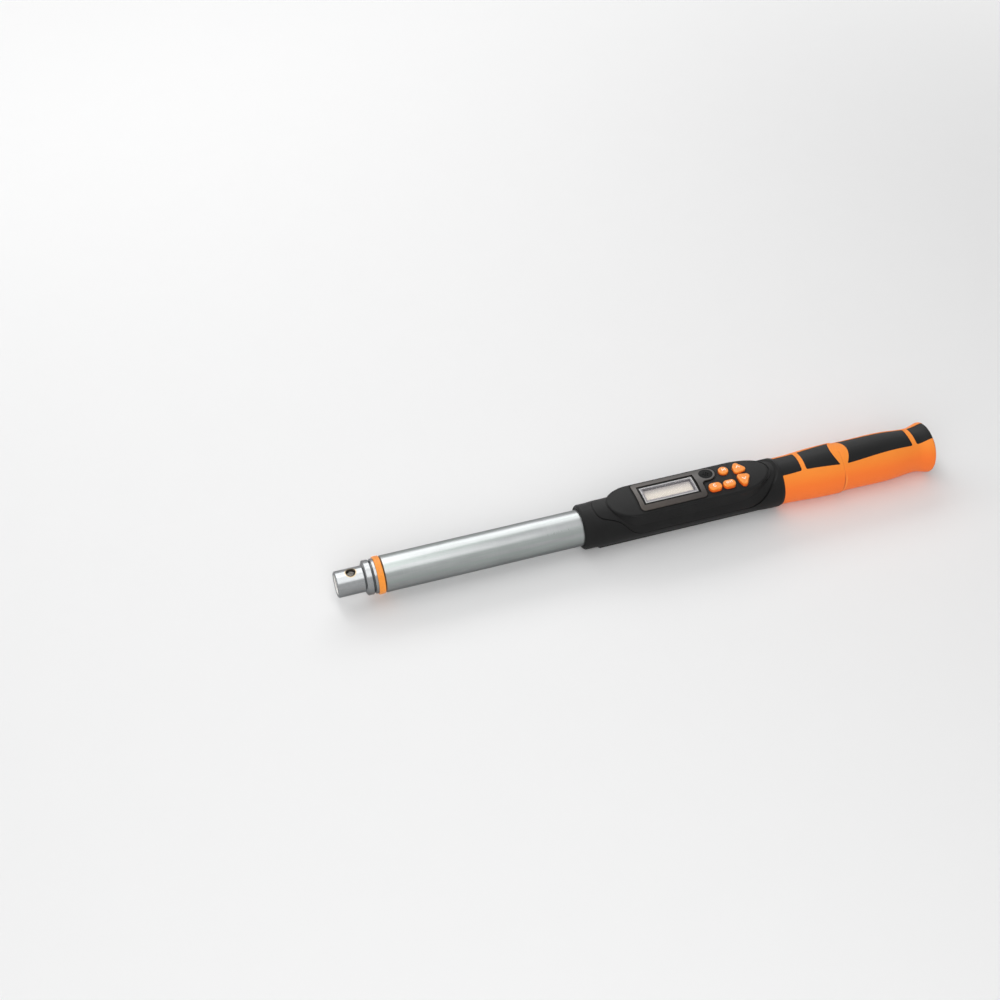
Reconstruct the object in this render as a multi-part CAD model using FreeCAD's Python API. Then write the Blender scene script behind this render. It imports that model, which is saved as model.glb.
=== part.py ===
import FreeCAD, Part
import math
import os
from FreeCAD import Vector

# Digital torque wrench with an empty interchangeable-head socket.
# Everything is modelled about the tube axis (X, socket to grip, display facing +Z)
# and lifted on export so that the flats on the underside lie on Z = 0.

# ---------------------------------------------------------------- lengths along X
NECK_LEN = 20.6            # chromed socket neck, mouth to collar
COLLAR_LEN = 9.4           # grooved collar
RING_LEN = 5.0             # coloured marker ring
BARE_TUBE_LEN = 154.5      # tube in view between ring and housing
HOUSING_LEN = 162.5        # electronics housing
GRIP_LEN = 129.5           # overmoulded grip
CAP_PROUD = 3.5            # battery cap beyond the grip's end
OVERALL = NECK_LEN + COLLAR_LEN + RING_LEN + BARE_TUBE_LEN + HOUSING_LEN + GRIP_LEN + CAP_PROUD

X_MOUTH = -OVERALL / 2
X_COLLAR = X_MOUTH + NECK_LEN
X_RING = X_COLLAR + COLLAR_LEN
X_TUBE = X_RING + RING_LEN
X_HOUSING = X_TUBE + BARE_TUBE_LEN
X_GRIP = X_HOUSING + HOUSING_LEN
X_BUTT = X_GRIP + GRIP_LEN

# ---------------------------------------------------------------- clearances
FIT = 0.05                 # radial clearance of turned and pressed fits
GAP = 0.1                  # play between pieces that are fastened together
SEAM_GAP = 0.65            # parting line between the housing shells
KEY_PLAY = 0.3             # round each key in the cover
SCREW_PLAY = 0.3           # round the screws in the lower shell and the tube

# ---------------------------------------------------------------- tube and beam
TUBE_R = 14.0
TUBE_WALL = 2.0
TUBE_BORE_R = TUBE_R - TUBE_WALL
TUBE_EDGE = 0.9
REST_DROP = 19.2           # tube axis above the surface that the wrench lies on

NECK_R = 10.0
SOCKET_R = 7.5             # bore for a 15 mm head spigot
SOCKET_DEPTH = 29.5
MOUTH_CHAMFER = 0.9
LOCK_HOLE_R = 2.5
LOCK_HOLE_INSET = 12.0     # from the mouth to the locking-pin hole
LOCK_HOLE_SINK = 1.2
COLLAR_R = 13.2
COLLAR_RISE = 1.2          # length of the cone from the neck up to the collar
COLLAR_EDGE = 0.6          # chamfer of the collar's front
COLLAR_GROOVE_PLACE = 0.7  # share of the collar's length in front of the groove
COLLAR_GROOVE_W = 2.0
COLLAR_GROOVE_DEPTH = 1.3
RING_R = 14.4
RING_SEAT_R = 11.0
RING_EDGE = 0.7
BEAM_R = 11.4
BEAM_CHAMFER = 1.0
BEAM_LAND_R = TUBE_BORE_R - FIT
BEAM_LAND_LEN = 41.0
BEAM_TAIL = 27.0           # beam end behind the front of the housing
WAIST_START = 110.0        # front of the housing to the start of the gauged waist
WAIST_LEN = 48.0
WAIST_HALF_W = 5.0
WAIST_HALF_H = 8.0
LEAD_GROOVE_W = 4.0
LEAD_R = 0.8
LEAD_END_GAP = 0.2          # between each lead's end and what it is soldered to
PIN_R = 2.5
PIN_INSET = 0.4            # each end of a pin below the tube's skin
PIN_STATIONS = (9.0, 20.0)  # behind the front of the housing
GAUGE_SIZE = (9.0, 0.3, 5.0)
GAUGE_SPACING = 20.0
TERMINAL = (6.0, 5.0, 2.4)
TERMINAL_INSET = 4.0       # from the waist's rear end

# ---------------------------------------------------------------- housing
HOUSING_R = 17.8
NOSE_R = 17.4              # front collar round the tube
NOSE_ROUND = 1.5
NOSE_LEN = 9.0             # straight part of the front collar
NOSE_BLEND = 5.0           # from the collar to the full radius
REAR_RIM_R = 19.3
REAR_FACE_R = 18.5
REAR_RIM_CROWN = 0.25
REAR_FLARE = 34.0          # start of the rear rim's flare, before the rear face
REAR_RIM_START = 14.0
REAR_RIM_FULL = 8.0
REAR_RIM_END = 2.5
KEEL_HALF_W = 8.5
KEEL_FLARE = 3.0
KEEL_START = 13.0
KEEL_END = HOUSING_LEN - 14.5
KEEL_NOSE = 2.5            # chamfer at both ends
KEEL_ROUND = 1.5
RELIEF_R = 15.9
RIB_W = 2.0
RIB_COUNT = 9
RELIEF_INSET = 6.0         # from the hollow's rear end to the parting line
WALL = 2.0

# Parting line seen from the side: distance behind the housing front, height / HOUSING_R
SEAM_FRONT = [(9.4, 1.12), (11.2, 0.95), (20.0, 0.76), (29.5, 0.54), (34.5, 0.24), (41.0, -0.06),
              (52.0, -0.16)]
# and the same at the rear, from the housing's rear face forward
SEAM_REAR = [(34.5, -0.16), (23.5, -0.06), (16.5, 0.30), (10.3, 0.70), (3.9, 0.99), (1.9, 1.12)]

POD_START = 22.0           # tip of the display pod behind the housing front
POD_END = HOUSING_LEN - 9.0
POD_HALF_W = 16.5
POD_FRONT_NOSE = 22.0      # length of each half-ellipse end
POD_REAR_NOSE = 29.5
POD_TOP = 18.7
POD_CROWN_R = 60.0
POD_EDGE_ROUND = 1.5
PLINTH_STEP = 0.65
PLINTH_MARGIN = 1.6
PLINTH_LIP = 0.4
POD_GROOVE_W = 0.75        # groove round the pod's two rounded ends
POD_GROOVE_DEPTH = 0.7
POD_GROOVE_FRONT = 14.0    # how far the groove reaches from each tip
POD_GROOVE_REAR = 11.0
CEILING = 16.4             # flat inner face above the display
LEDGE_REACH = 1.1          # ledge that carries the bezel's long sides
LEDGE_BOTTOM = 14.6

SCREW_STATIONS = (36.5, HOUSING_LEN - 21.0)
SCREW_HALF_PITCH = 6.0
SCREW_R = 1.25
SCREW_LEN = 20.0
SCREW_HEAD_R = 2.4
SCREW_HEAD_H = 1.6
SCREW_RECESS = 1.4
SCREW_CROSS = (3.0, 0.7, 0.8)  # length, width and depth of the cross recess
POST_R = 2.8
KEEL_BOSS_R = 4.0
POCKET_START = 30.0        # window milled in the tube under the board
POCKET_END = HOUSING_LEN - 15.5
POCKET_FLOOR = 7.0

# ---------------------------------------------------------------- display
BEZEL_START = 45.0
BEZEL_END = HOUSING_LEN - 63.7
BEZEL_LEN = BEZEL_END - BEZEL_START
BEZEL_HALF_W = 14.3
BEZEL_CORNER = 3.2
BEZEL_TOP = 19.9
BEZEL_CROWN_R = 50.0
BEZEL_SINK = 0.6
BEZEL_MARGIN = 1.3         # open channel round the bezel
GASKET_T = 0.35
BEZEL_EDGE = 0.5
LOBE_R = 7.3
LOBE_OFFSET = 6.0          # lobe centre behind the bezel's straight end
LOBE_FILLET = 3.2
WINDOW_START = BEZEL_START + 3.7
WINDOW_LEN = BEZEL_END - 4.3 - WINDOW_START
WINDOW_HALF_W = 9.6
WINDOW_BEVEL = 0.5
WINDOW_BEVEL_RISE = 2.0
WINDOW_BEVEL_OVER = 0.5    # carried on above the crown so that the cut is clean
LENS_LAP = 0.8
LENS_T = 1.2
LENS_SLOT = 0.35           # open line between the lens and the bezel
LENS_SINK = 0.5
LENS_EDGE = 0.3
LCD_LAP = 2.0
STRIP_INSET = 0.5
LCD_T = 2.2
LCD_FRAME_LEDGE = 2.0      # from the window's edge in to the holder's opening
STRIP_W = 1.8
GRILLE_R = 5.5
GRILLE_T = 1.5
GRILLE_PROUD = 1.0         # flat top above the bezel's seat
GRILLE_HOLE_R = 0.5
GRILLE_HOLE_RING_R = 1.9
GRILLE_HOLES = 6
BUZZER_R = 4.6
BUZZER_LIP = 0.8           # of the cover over the buzzer's edge
BUZZER_H = 3.2
BUZZER_PORT = (0.9, 0.6)   # radius and depth

# ---------------------------------------------------------------- board and keys
BOARD_BOTTOM = 10.6
BOARD_T = 1.6
BOARD_TOP = BOARD_BOTTOM + BOARD_T
BOARD_PLAY = 0.4           # inside the pod's wall
BOARD_START = 39.9
BOARD_END = HOUSING_LEN - 24.1
BOARD_SCREWS = ((BOARD_START + 2.5, 10.3), (BOARD_END - 2.4, 10.6))
BOARD_SCREW_R = 0.9
BOARD_BOSS_R = 1.9
BOARD_SCREW_PLAY = 0.2
BOARD_SCREW_HEAD_H = 1.1
BOARD_SCREW_TIP = 2.0      # below the ceiling
CONNECTOR = (7.0, 6.0, 2.6)
CONNECTOR_INSET = 4.0      # from the board's end
# chips under the board: station, side, height
CHIPS = ((66.0, 10.0, 1.2), (84.0, 6.0, 1.4), (BEZEL_END + 1.2, 7.0, 1.6))
SWITCH_SIZE = 5.0
SWITCH_H = 1.2
MAT_BOTTOM = BOARD_TOP + SWITCH_H
MAT_T = 0.6
MAT_CLEARANCE = 0.4
KEY_FLANGE = 0.5
KEY_FLANGE_T = 1.0
KEY_TRAVEL = 0.9
KEY_REST_GAP = 0.3         # left over the mat when a key is pressed
KEY_FLANGE_TOP = MAT_BOTTOM + MAT_T + KEY_REST_GAP + KEY_TRAVEL + KEY_FLANGE_T
KEY_TOP = 20.4
KEY_EDGE = 0.9
# each key: centre (before the housing's rear face, across), corner radius, outline skeleton
PILL_R = 3.3
ARROW_R = 2.5
KEYS = {
    "key_mode": ((43.6, 5.7), 4.0, ()),
    "key_clear": ((55.8, -8.1), PILL_R, ((-1.9, -0.4), (1.9, -0.4), (1.9, 0.4), (-1.9, 0.4))),
    "key_unit": ((44.3, -8.3), PILL_R, ((-1.7, -0.2), (1.7, -0.2), (1.7, 0.2), (-1.7, 0.2))),
    "key_up": ((31.6, 0.0), ARROW_R, ((-2.1, 2.4), (2.9, 3.4), (-0.7, 7.9), (-1.9, 5.8))),
    "key_down": ((31.6, 0.0), ARROW_R, ((-2.0, -3.9), (-1.9, -7.6), (-0.9, -10.4), (2.7, -4.9))),
}
SCORE_ARC = ((36.9, -15.0), (38.3, 0.0), (36.9, 15.0))
SCORE_W = 0.45
SCORE_DEPTH = 0.3

# ---------------------------------------------------------------- grip and batteries
CORE_R = 16.4
SKIN_FRONT = [(0.0, 18.3), (5.0, 18.4), (10.0, 18.5), (15.0, 18.75), (23.0, 19.3), (40.0, 20.0), (50.0, 20.1)]
SKIN_STEP = 0.65           # step in the skin at the thumb band
SKIN_STEP_RUN = 0.5
# behind the band: distance before the grip's end, radius
SKIN_REAR = [(57.5, 19.35), (35.5, 19.25), (25.5, 18.4), (16.5, 17.6), (10.5, 17.9), (3.5, 19.8)]
SKIN_CREST = 2.2
BUTT_R = 20.1
BUTT_ROUND = 1.4
INLAY_SINK = 0.25
INLAY_CORNER = 1.4
INLAY_POINT = 0.5          # corners beside the thumb band are nearly sharp
# each inlay: start, end, half widths there, how far the middle of each end lies towards the socket,
# and the corner radius at each end
INLAYS = [
    (-6.0, 16.4, 9.9, 9.6, 0.0, 0.0, INLAY_CORNER, INLAY_CORNER),
    (19.9, 48.0, 9.6, 12.3, 0.0, 3.8, INLAY_CORNER, INLAY_POINT),
    (53.9, GRIP_LEN - 17.6, 12.1, 9.5, -4.2, 0.9, INLAY_POINT, INLAY_CORNER),
    (GRIP_LEN - 14.1, GRIP_LEN + 6.0, 9.3, 9.2, 0.4, 0.0, INLAY_CORNER, INLAY_CORNER),
]
CELL_R = 7.15
CELL_LEN = 50.5
CELL_NUB_R = 2.7
CELL_NUB_LEN = 1.3
CELL_SHOULDER = 0.8        # chamfers at the positive and the negative end
CELL_FOOT = 0.6
CELL_PLAY = 0.25           # in the sleeve
CELL_CAP_GAP = 0.6         # between the last cell and the cap's plug
SLEEVE_WALL = 1.3
SLEEVE_RIBS = 5
SLEEVE_RIB_W = 2.0
SLEEVE_FLOOR = 2.4         # solid end behind the front contact
LEAD_HOLE_PLAY = 1.2       # round the battery lead in that end
CONTACT_T = 0.6
CONTACT_PLAY = 0.5         # smaller than the cell all round
CONTACT_FLAT = 2.2         # flat on one side, in from the cell's radius
CAP_FLANGE_R = 14.9
CAP_CORE_PLAY = 0.3        # round the cap's flange in the core, and in the skin
CAP_SKIN_PLAY = 0.5
CAP_PLUG_EDGE = 0.6
# domed end: distance before the end, distance in from the flange's edge
CAP_DOME = [(2.6, 0.0), (1.0, 0.7), (0.2, 2.2), (0.0, 4.0)]
CAP_PLUG_R = TUBE_BORE_R - 0.3
CAP_PLUG_LEN = 8.0
CAP_PLUG_WALL = 2.2
CAP_SLOT_W = 2.2
CAP_SLOT_DEPTH = 1.8
CAP_SLOT_LEN = 20.0
SEAL_WIRE_R = 0.7
SEAL_PLAY = 0.1            # on either side of the seal
SEAL_INNER_PLAY = 0.2      # round the cap's plug
SPRING_R = 4.2
SPRING_SEAT = 1.0          # the cap's inner face, behind the tube's end
SPRING_WIRE_R = 0.45
SPRING_TURNS = 4
SPRING_RUNS = 12            # straight runs in each turn
SPRING_SIDES = 6
TUBE_END_INSET = 5.0       # tube end inside the butt
CORE_END_INSET = 1.4

AXIS_X = Vector(1, 0, 0)
AXIS_Y = Vector(0, 1, 0)
AXIS_Z = Vector(0, 0, 1)
FAR = 60.0                 # safely outside every section


# ================================================================ helpers
def rod(x0, x1, radius):
    """Solid cylinder on the tube axis."""
    return Part.makeCylinder(radius, x1 - x0, Vector(x0, 0, 0), AXIS_X)


def sleeve(x0, x1, outer, inner):
    """Hollow cylinder on the tube axis."""
    return rod(x0, x1, outer).cut(rod(x0 - 1, x1 + 1, inner))


def post(x, y, z0, z1, radius):
    """Upright cylinder."""
    return Part.makeCylinder(radius, z1 - z0, Vector(x, y, z0), AXIS_Z)


def block(x0, x1, y0, y1, z0, z1):
    return Part.makeBox(x1 - x0, y1 - y0, z1 - z0, Vector(x0, y0, z0))


def lathe(edges_or_points):
    """Revolve a closed profile of (x, radius) points, or ready edges, about X."""
    if isinstance(edges_or_points[0], tuple):
        points = [Vector(x, 0, r) for x, r in edges_or_points]
        wire = Part.makePolygon(points + points[:1])
    else:
        wire = Part.Wire(edges_or_points)
    return Part.Face(wire).revolve(Vector(0, 0, 0), AXIS_X, 360)


def spline_edge(points):
    curve = Part.BSplineCurve()
    curve.interpolate(points)
    return curve.toShape()


def line_edge(a, b):
    return Part.LineSegment(a, b).toShape()


def prism(wire, z0, z1):
    """Extrude a closed wire that lies in the XY plane."""
    wire = wire.copy()
    wire.translate(Vector(0, 0, z0))
    return Part.Face(wire).extrude(Vector(0, 0, z1 - z0))


def rounded_outline(points, radius):
    """Outline at a constant distance round a small convex skeleton."""
    corners = [Vector(x, y, 0) for x, y in points]
    wire = Part.makePolygon(corners + corners[:1])
    return wire.makeOffset2D(radius)


def rectangle_outline(x0, x1, half_w, corner):
    return rounded_outline(((x0 + corner, -half_w + corner), (x1 - corner, -half_w + corner),
                            (x1 - corner, half_w - corner), (x0 + corner, half_w - corner)), corner)


def crown(top, radius):
    """Long cylinder whose highest line lies at height top: a crowned surface."""
    return Part.makeCylinder(radius, OVERALL, Vector(X_MOUTH, 0, top - radius), AXIS_X)


def edges_where(shape, test):
    return [edge for edge in shape.Edges if test(edge)]


def single(shape):
    """Merge coplanar splits and return the one solid."""
    merged = shape.removeSplitter()
    return merged.Solids[0] if len(merged.Solids) == 1 else merged


def export(name, shape):
    placed = shape.copy()
    placed.translate(Vector(0, 0, REST_DROP))
    placed.exportStep("parts/%s.step" % name)
    print("%-18s solids %d  valid %s" % (name, len(placed.Solids), placed.isValid()))


# ================================================================ beam, tube, ring
def torque_beam():
    """Socket neck, grooved collar, ring seat and the gauged bending beam: one turned and milled bar."""
    collar_end = X_RING - GAP
    groove_mid = X_COLLAR + COLLAR_GROOVE_PLACE * COLLAR_LEN
    rise = X_COLLAR + COLLAR_RISE
    half_groove = COLLAR_GROOVE_W / 2
    tail = X_HOUSING + BEAM_TAIL
    land_start = tail - BEAM_LAND_LEN
    body = lathe([
        (X_MOUTH, 0), (X_MOUTH, NECK_R - MOUTH_CHAMFER), (X_MOUTH + MOUTH_CHAMFER, NECK_R),
        (X_COLLAR, NECK_R), (rise, COLLAR_R - COLLAR_EDGE), (rise + COLLAR_EDGE, COLLAR_R),
        (groove_mid - half_groove, COLLAR_R), (groove_mid, COLLAR_R - COLLAR_GROOVE_DEPTH),
        (groove_mid + half_groove, COLLAR_R), (collar_end, COLLAR_R),
        (collar_end, RING_SEAT_R), (X_TUBE, RING_SEAT_R), (X_TUBE + BEAM_CHAMFER, BEAM_R),
        (land_start - BEAM_CHAMFER, BEAM_R), (land_start, BEAM_LAND_R),
        (tail - BEAM_CHAMFER, BEAM_LAND_R), (tail, BEAM_LAND_R - BEAM_CHAMFER), (tail, 0)])
    bore = rod(X_MOUTH - 1, X_MOUTH + SOCKET_DEPTH, SOCKET_R)
    lead_in = Part.makeCone(SOCKET_R + MOUTH_CHAMFER, SOCKET_R, MOUTH_CHAMFER, Vector(X_MOUTH, 0, 0), AXIS_X)
    lock_x = X_MOUTH + LOCK_HOLE_INSET
    lock_hole = post(lock_x, 0, 0, NECK_R + 1, LOCK_HOLE_R)
    lock_sink = Part.makeCone(LOCK_HOLE_R, LOCK_HOLE_R + 2 * LOCK_HOLE_SINK, 2 * LOCK_HOLE_SINK,
                              Vector(lock_x, 0, NECK_R - LOCK_HOLE_SINK), AXIS_Z)
    waist_0 = X_HOUSING - WAIST_START
    waist_1 = waist_0 + WAIST_LEN
    waist_keep = block(waist_0 - 1, waist_1 + 1, -WAIST_HALF_W, WAIST_HALF_W, -WAIST_HALF_H, WAIST_HALF_H)
    waist_cut = rod(waist_0, waist_1, TUBE_R).cut(waist_keep)
    groove = block(waist_1 - 1, tail + 1, -LEAD_GROOVE_W / 2, LEAD_GROOVE_W / 2,
                   WAIST_HALF_H, TUBE_R)
    body = body.cut(bore.fuse([lead_in, lock_hole, lock_sink]))
    body = body.cut(waist_cut).cut(groove)
    for station in PIN_STATIONS:
        body = body.cut(cross_hole(station, PIN_R + FIT))
    return single(body)


def cross_hole(station, radius):
    """Cylinder along Y through the tube and the beam."""
    return Part.makeCylinder(radius, 2 * FAR, Vector(X_HOUSING + station, -FAR, 0), AXIS_Y)


def beam_pins():
    half = TUBE_R - PIN_INSET
    return Part.makeCompound([
        Part.makeCylinder(PIN_R, 2 * half, Vector(X_HOUSING + station, -half, 0), AXIS_Y)
        for station in PIN_STATIONS])


def strain_gauges():
    """Two foil gauges on each side of the waist and one terminal block on top."""
    length, thick, height = GAUGE_SIZE
    middle = X_HOUSING - WAIST_START + WAIST_LEN / 2
    foils = []
    for side in (-1, 1):
        for shift in (-GAUGE_SPACING / 2, GAUGE_SPACING / 2):
            x = middle + shift - length / 2
            y = side * WAIST_HALF_W if side > 0 else -WAIST_HALF_W - thick
            foils.append(Part.makeBox(length, thick, height, Vector(x, y, -height / 2)))
    length, width, height = TERMINAL
    terminal = block(terminal_end() - length, terminal_end(), -width / 2, width / 2,
                     WAIST_HALF_H, WAIST_HALF_H + height)
    return Part.makeCompound(foils + [terminal])


def terminal_end():
    return X_HOUSING - WAIST_START + WAIST_LEN - TERMINAL_INSET


def outer_tube():
    shell = sleeve(X_TUBE, tube_end(), TUBE_R, TUBE_BORE_R)
    front = edges_where(shell, lambda e: abs(e.CenterOfMass.x - X_TUBE) < 0.01
                        and e.BoundBox.YLength > 1.9 * TUBE_R)
    shell = shell.makeChamfer(TUBE_EDGE, front)
    pocket = block(X_HOUSING + POCKET_START, X_HOUSING + POCKET_END, -FAR, FAR, POCKET_FLOOR, FAR)
    shell = shell.cut(pocket)
    for station in PIN_STATIONS:
        shell = shell.cut(cross_hole(station, PIN_R + FIT))
    for x, y in screw_places():
        shell = shell.cut(post(x, y, -FAR, 0, SCREW_R + SCREW_PLAY))
    return single(shell)


def marker_ring():
    ring = sleeve(X_RING, X_TUBE - GAP, RING_R, RING_SEAT_R + GAP)
    rims = edges_where(ring, lambda e: e.BoundBox.YLength > 1.98 * RING_R and e.BoundBox.XLength < 0.01)
    return ring.makeFillet(RING_EDGE, rims)


# ================================================================ leads
def rounded_path(points):
    """Straight runs joined by tangent arcs as large as the runs allow."""
    edges = []
    start = points[0]
    for i in range(1, len(points) - 1):
        before = points[i] - points[i - 1]
        after = points[i + 1] - points[i]
        turn = before.getAngle(after)
        tangent = 0.45 * min(before.Length, after.Length)
        radius = tangent / math.tan(turn / 2)
        u = Vector(before).normalize()
        w = Vector(after).normalize()
        a = points[i] - u * tangent
        b = points[i] + w * tangent
        toward = (w - u).normalize()
        centre = points[i] + toward * math.hypot(radius, tangent)
        middle = centre - toward * radius
        edges += [line_edge(start, a), Part.Arc(a, middle, b).toShape()]
        start = b
    edges.append(line_edge(start, points[-1]))
    return Part.Wire(edges)


def lead(points, radius):
    path = rounded_path(points)
    direction = points[1] - points[0]
    section = Part.Wire(Part.makeCircle(radius, points[0], direction))
    return path.makePipeShell([section], True, False)


def gauge_lead():
    """From the gauge terminals along the beam's groove to the board's front connector."""
    start = terminal_end() + LEAD_END_GAP
    connector = X_HOUSING + BOARD_START + CONNECTOR_INSET - LEAD_END_GAP
    high = (WAIST_HALF_H + TUBE_BORE_R) / 2
    plug = BOARD_BOTTOM - CONNECTOR[2] / 2
    return lead([Vector(start, 0, WAIST_HALF_H + TERMINAL[2] / 2), Vector(start + 16, 0, high + 0.2),
                 Vector(X_HOUSING - 4, 0, high - 0.1), Vector(X_HOUSING + BEAM_TAIL, 0, high + 0.1),
                 Vector(connector, 0, plug)], LEAD_R)


def battery_lead():
    """From the front battery contact through the tube to the board's rear connector."""
    connector = X_HOUSING + BOARD_END - CONNECTOR_INSET + LEAD_END_GAP
    plug = BOARD_BOTTOM - CONNECTOR[2] / 2
    start = battery_front() - CONTACT_T - LEAD_END_GAP
    run = start - connector
    return lead([Vector(start, 0, 0), Vector(start - 0.3 * run, 0, 0.4),
                 Vector(connector + 0.35 * run, 0, 0.65 * plug), Vector(connector, 0, plug)], LEAD_R)


# ================================================================ housing
def screw_places():
    return [(X_HOUSING + station, side * SCREW_HALF_PITCH)
            for station in SCREW_STATIONS for side in (-1, 1)]


def seam_points(points, origin, direction):
    return [Vector(origin + direction * run, 0, share * HOUSING_R) for run, share in points]


def above_seam(shift):
    """Everything above the parting line, moved up by shift."""
    front = seam_points(SEAM_FRONT, X_HOUSING, 1)
    rear = seam_points(SEAM_REAR, X_GRIP, -1)
    top_front = Vector(front[0].x, 0, FAR)
    top_rear = Vector(rear[-1].x, 0, FAR)
    wire = Part.Wire([line_edge(top_front, front[0]), spline_edge(front), line_edge(front[-1], rear[0]),
                      spline_edge(rear), line_edge(rear[-1], top_rear), line_edge(top_rear, top_front)])
    wire.translate(Vector(0, -FAR, shift))
    return Part.Face(wire).extrude(Vector(0, 2 * FAR, 0))


def pod_outline(inset, rear_extra=0.0):
    """Straight-sided oval with half-ellipse ends."""
    front = X_HOUSING + POD_START + POD_FRONT_NOSE
    rear = X_HOUSING + POD_END - POD_REAR_NOSE
    half = POD_HALF_W - inset
    nose = Part.Ellipse(Vector(front, 0, 0), POD_FRONT_NOSE - inset, half)
    tail = Part.Ellipse(Vector(rear, 0, 0), POD_REAR_NOSE - inset + rear_extra, half)
    left = Part.ArcOfEllipse(nose, math.pi / 2, 1.5 * math.pi).toShape()
    right = Part.ArcOfEllipse(tail, -math.pi / 2, math.pi / 2).toShape()
    return Part.Wire([left, line_edge(Vector(front, -half, 0), Vector(rear, -half, 0)), right,
                      line_edge(Vector(rear, half, 0), Vector(front, half, 0))])


def crowned_pod(outline, top, edge_round):
    """Outline raised to a crowned top with a rounded rim."""
    solid = prism(outline, 0, top + 2).common(crown(top, POD_CROWN_R))
    rim = edges_where(solid, lambda e: e.BoundBox.ZMin > top - 6)
    return solid.makeFillet(edge_round, rim)


def housing_skin():
    """Turned outer form that both shells share, before the pod and the keel."""
    x = X_HOUSING
    nose = NOSE_R
    return lathe([
        (x, 0), (x, nose - NOSE_ROUND), (x + 0.3 * NOSE_ROUND, nose - 0.45 * NOSE_ROUND),
        (x + NOSE_ROUND, nose), (x + NOSE_LEN, nose), (x + NOSE_LEN + NOSE_BLEND, HOUSING_R),
        (X_GRIP - REAR_FLARE, HOUSING_R), (X_GRIP - REAR_RIM_START, REAR_RIM_R - REAR_RIM_CROWN),
        (X_GRIP - REAR_RIM_FULL, REAR_RIM_R), (X_GRIP - REAR_RIM_END, REAR_RIM_R),
        (X_GRIP, REAR_FACE_R), (X_GRIP, 0)])


def rest_cut(shape):
    """Flatten the underside on the resting plane."""
    return shape.common(block(X_MOUTH - 1, X_BUTT + FAR, -FAR, FAR, -REST_DROP, FAR))


def housing_cavity():
    """Space for the board, the display and the keys, less a ledge under the bezel's long sides."""
    space = prism(pod_outline(WALL), -HOUSING_R / 2, CEILING)
    x0 = X_HOUSING + BEZEL_START - WALL
    x1 = lobe_centre()[0] + LOBE_R + WALL
    for side in (-1, 1):
        inner = side * (BEZEL_HALF_W - LEDGE_REACH)
        space = space.cut(block(x0, x1, min(inner, side * FAR), max(inner, side * FAR), LEDGE_BOTTOM, FAR))
    return space


def pod_groove():
    """Fine groove at the foot of the pod's rounded ends."""
    ring = prism(pod_outline(-POD_GROOVE_W), 0, POD_TOP + 1).cut(prism(pod_outline(0.0), -1, POD_TOP + 2))
    ring = ring.cut(crown(POD_TOP - PLINTH_STEP - POD_GROOVE_DEPTH, POD_CROWN_R))
    x0 = X_HOUSING + POD_START + POD_GROOVE_FRONT
    x1 = X_HOUSING + POD_END - POD_GROOVE_REAR
    return ring.cut(block(x0, x1, -FAR, FAR, -FAR, FAR))


def housing_cover():
    base = rod(X_HOUSING, X_GRIP, HOUSING_R + GAP)
    plinth = crowned_pod(pod_outline(-PLINTH_LIP, PLINTH_MARGIN), POD_TOP - PLINTH_STEP, PLINTH_LIP)
    pod = crowned_pod(pod_outline(0.0), POD_TOP, POD_EDGE_ROUND)
    cover = base.fuse([plinth, pod]).common(above_seam(SEAM_GAP / 2))
    cover = cover.cut(pod_groove()).cut(housing_cavity())
    cover = cover.cut(rod(X_HOUSING, X_GRIP, TUBE_R + GAP))
    cover = cover.fuse(cover_posts())
    pocket = bezel_prism(BEZEL_MARGIN, POD_TOP - BEZEL_SINK - 4)
    cover = cover.cut(pocket.cut(crown(POD_TOP - BEZEL_SINK, POD_CROWN_R)))
    cover = cover.cut(window_block(LENS_LAP + GAP, CEILING - 1, POD_TOP + 1))
    cover = cover.cut(post(*lobe_centre(), CEILING - 1, POD_TOP + 1, BUZZER_R - BUZZER_LIP))
    for name in KEYS:
        cover = cover.cut(prism(key_outline(name, KEY_PLAY), CEILING - 1, POD_TOP + 1))
    cover = cover.cut(score_line())
    for x, y in screw_places():
        cover = cover.cut(post(x, y, -FAR, SCREW_LEN - REST_DROP + SCREW_RECESS + 1, SCREW_R))
    for x, y in board_screw_places():
        cover = cover.cut(post(x, y, 0, CEILING - 1, BOARD_SCREW_R))
    return single(cover)


def cover_posts():
    """Screw posts through the tube window, and short bosses for the board."""
    posts = []
    for x, y in screw_places():
        column = post(x, y, -TUBE_R, CEILING + 0.5, POST_R)
        below = block(x - FAR, x + FAR, -FAR, FAR, -FAR, 0)
        outside = below.cut(rod(x - FAR - 1, x + FAR + 1, TUBE_BORE_R - GAP))
        posts.append(column.cut(outside))
    for x, y in board_screw_places():
        posts.append(post(x, y, BOARD_TOP, CEILING + 0.5, BOARD_BOSS_R))
    return posts


def score_line():
    """Shallow groove between the three round keys and the two arrow keys."""
    a, b, c = [Vector(X_GRIP - x, y, 0) for x, y in SCORE_ARC]
    shift = Vector(SCORE_W, 0, 0)
    wire = Part.Wire([Part.Arc(a, b, c).toShape(), line_edge(c, c + shift),
                      Part.Arc(c + shift, b + shift, a + shift).toShape(), line_edge(a + shift, a)])
    return prism(wire, 0, POD_TOP + 1).cut(crown(POD_TOP - SCORE_DEPTH, POD_CROWN_R))


def housing_body():
    """Lower shell with the full front collar, the rear rim and the flat keel that the wrench lies on."""
    body = housing_skin().fuse(keel())
    body = rest_cut(body)
    body = body.cut(above_seam(-SEAM_GAP / 2))
    body = body.cut(rod(X_HOUSING - 1, X_GRIP + 1, TUBE_R + GAP))
    body = body.cut(lower_relief())
    for x, y in screw_places():
        body = body.cut(post(x, y, -FAR, 0, SCREW_R + SCREW_PLAY))
        body = body.cut(post(x, y, -FAR, -REST_DROP + SCREW_RECESS + SCREW_HEAD_H, SCREW_HEAD_R + SCREW_PLAY))
    return single(body)


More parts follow.
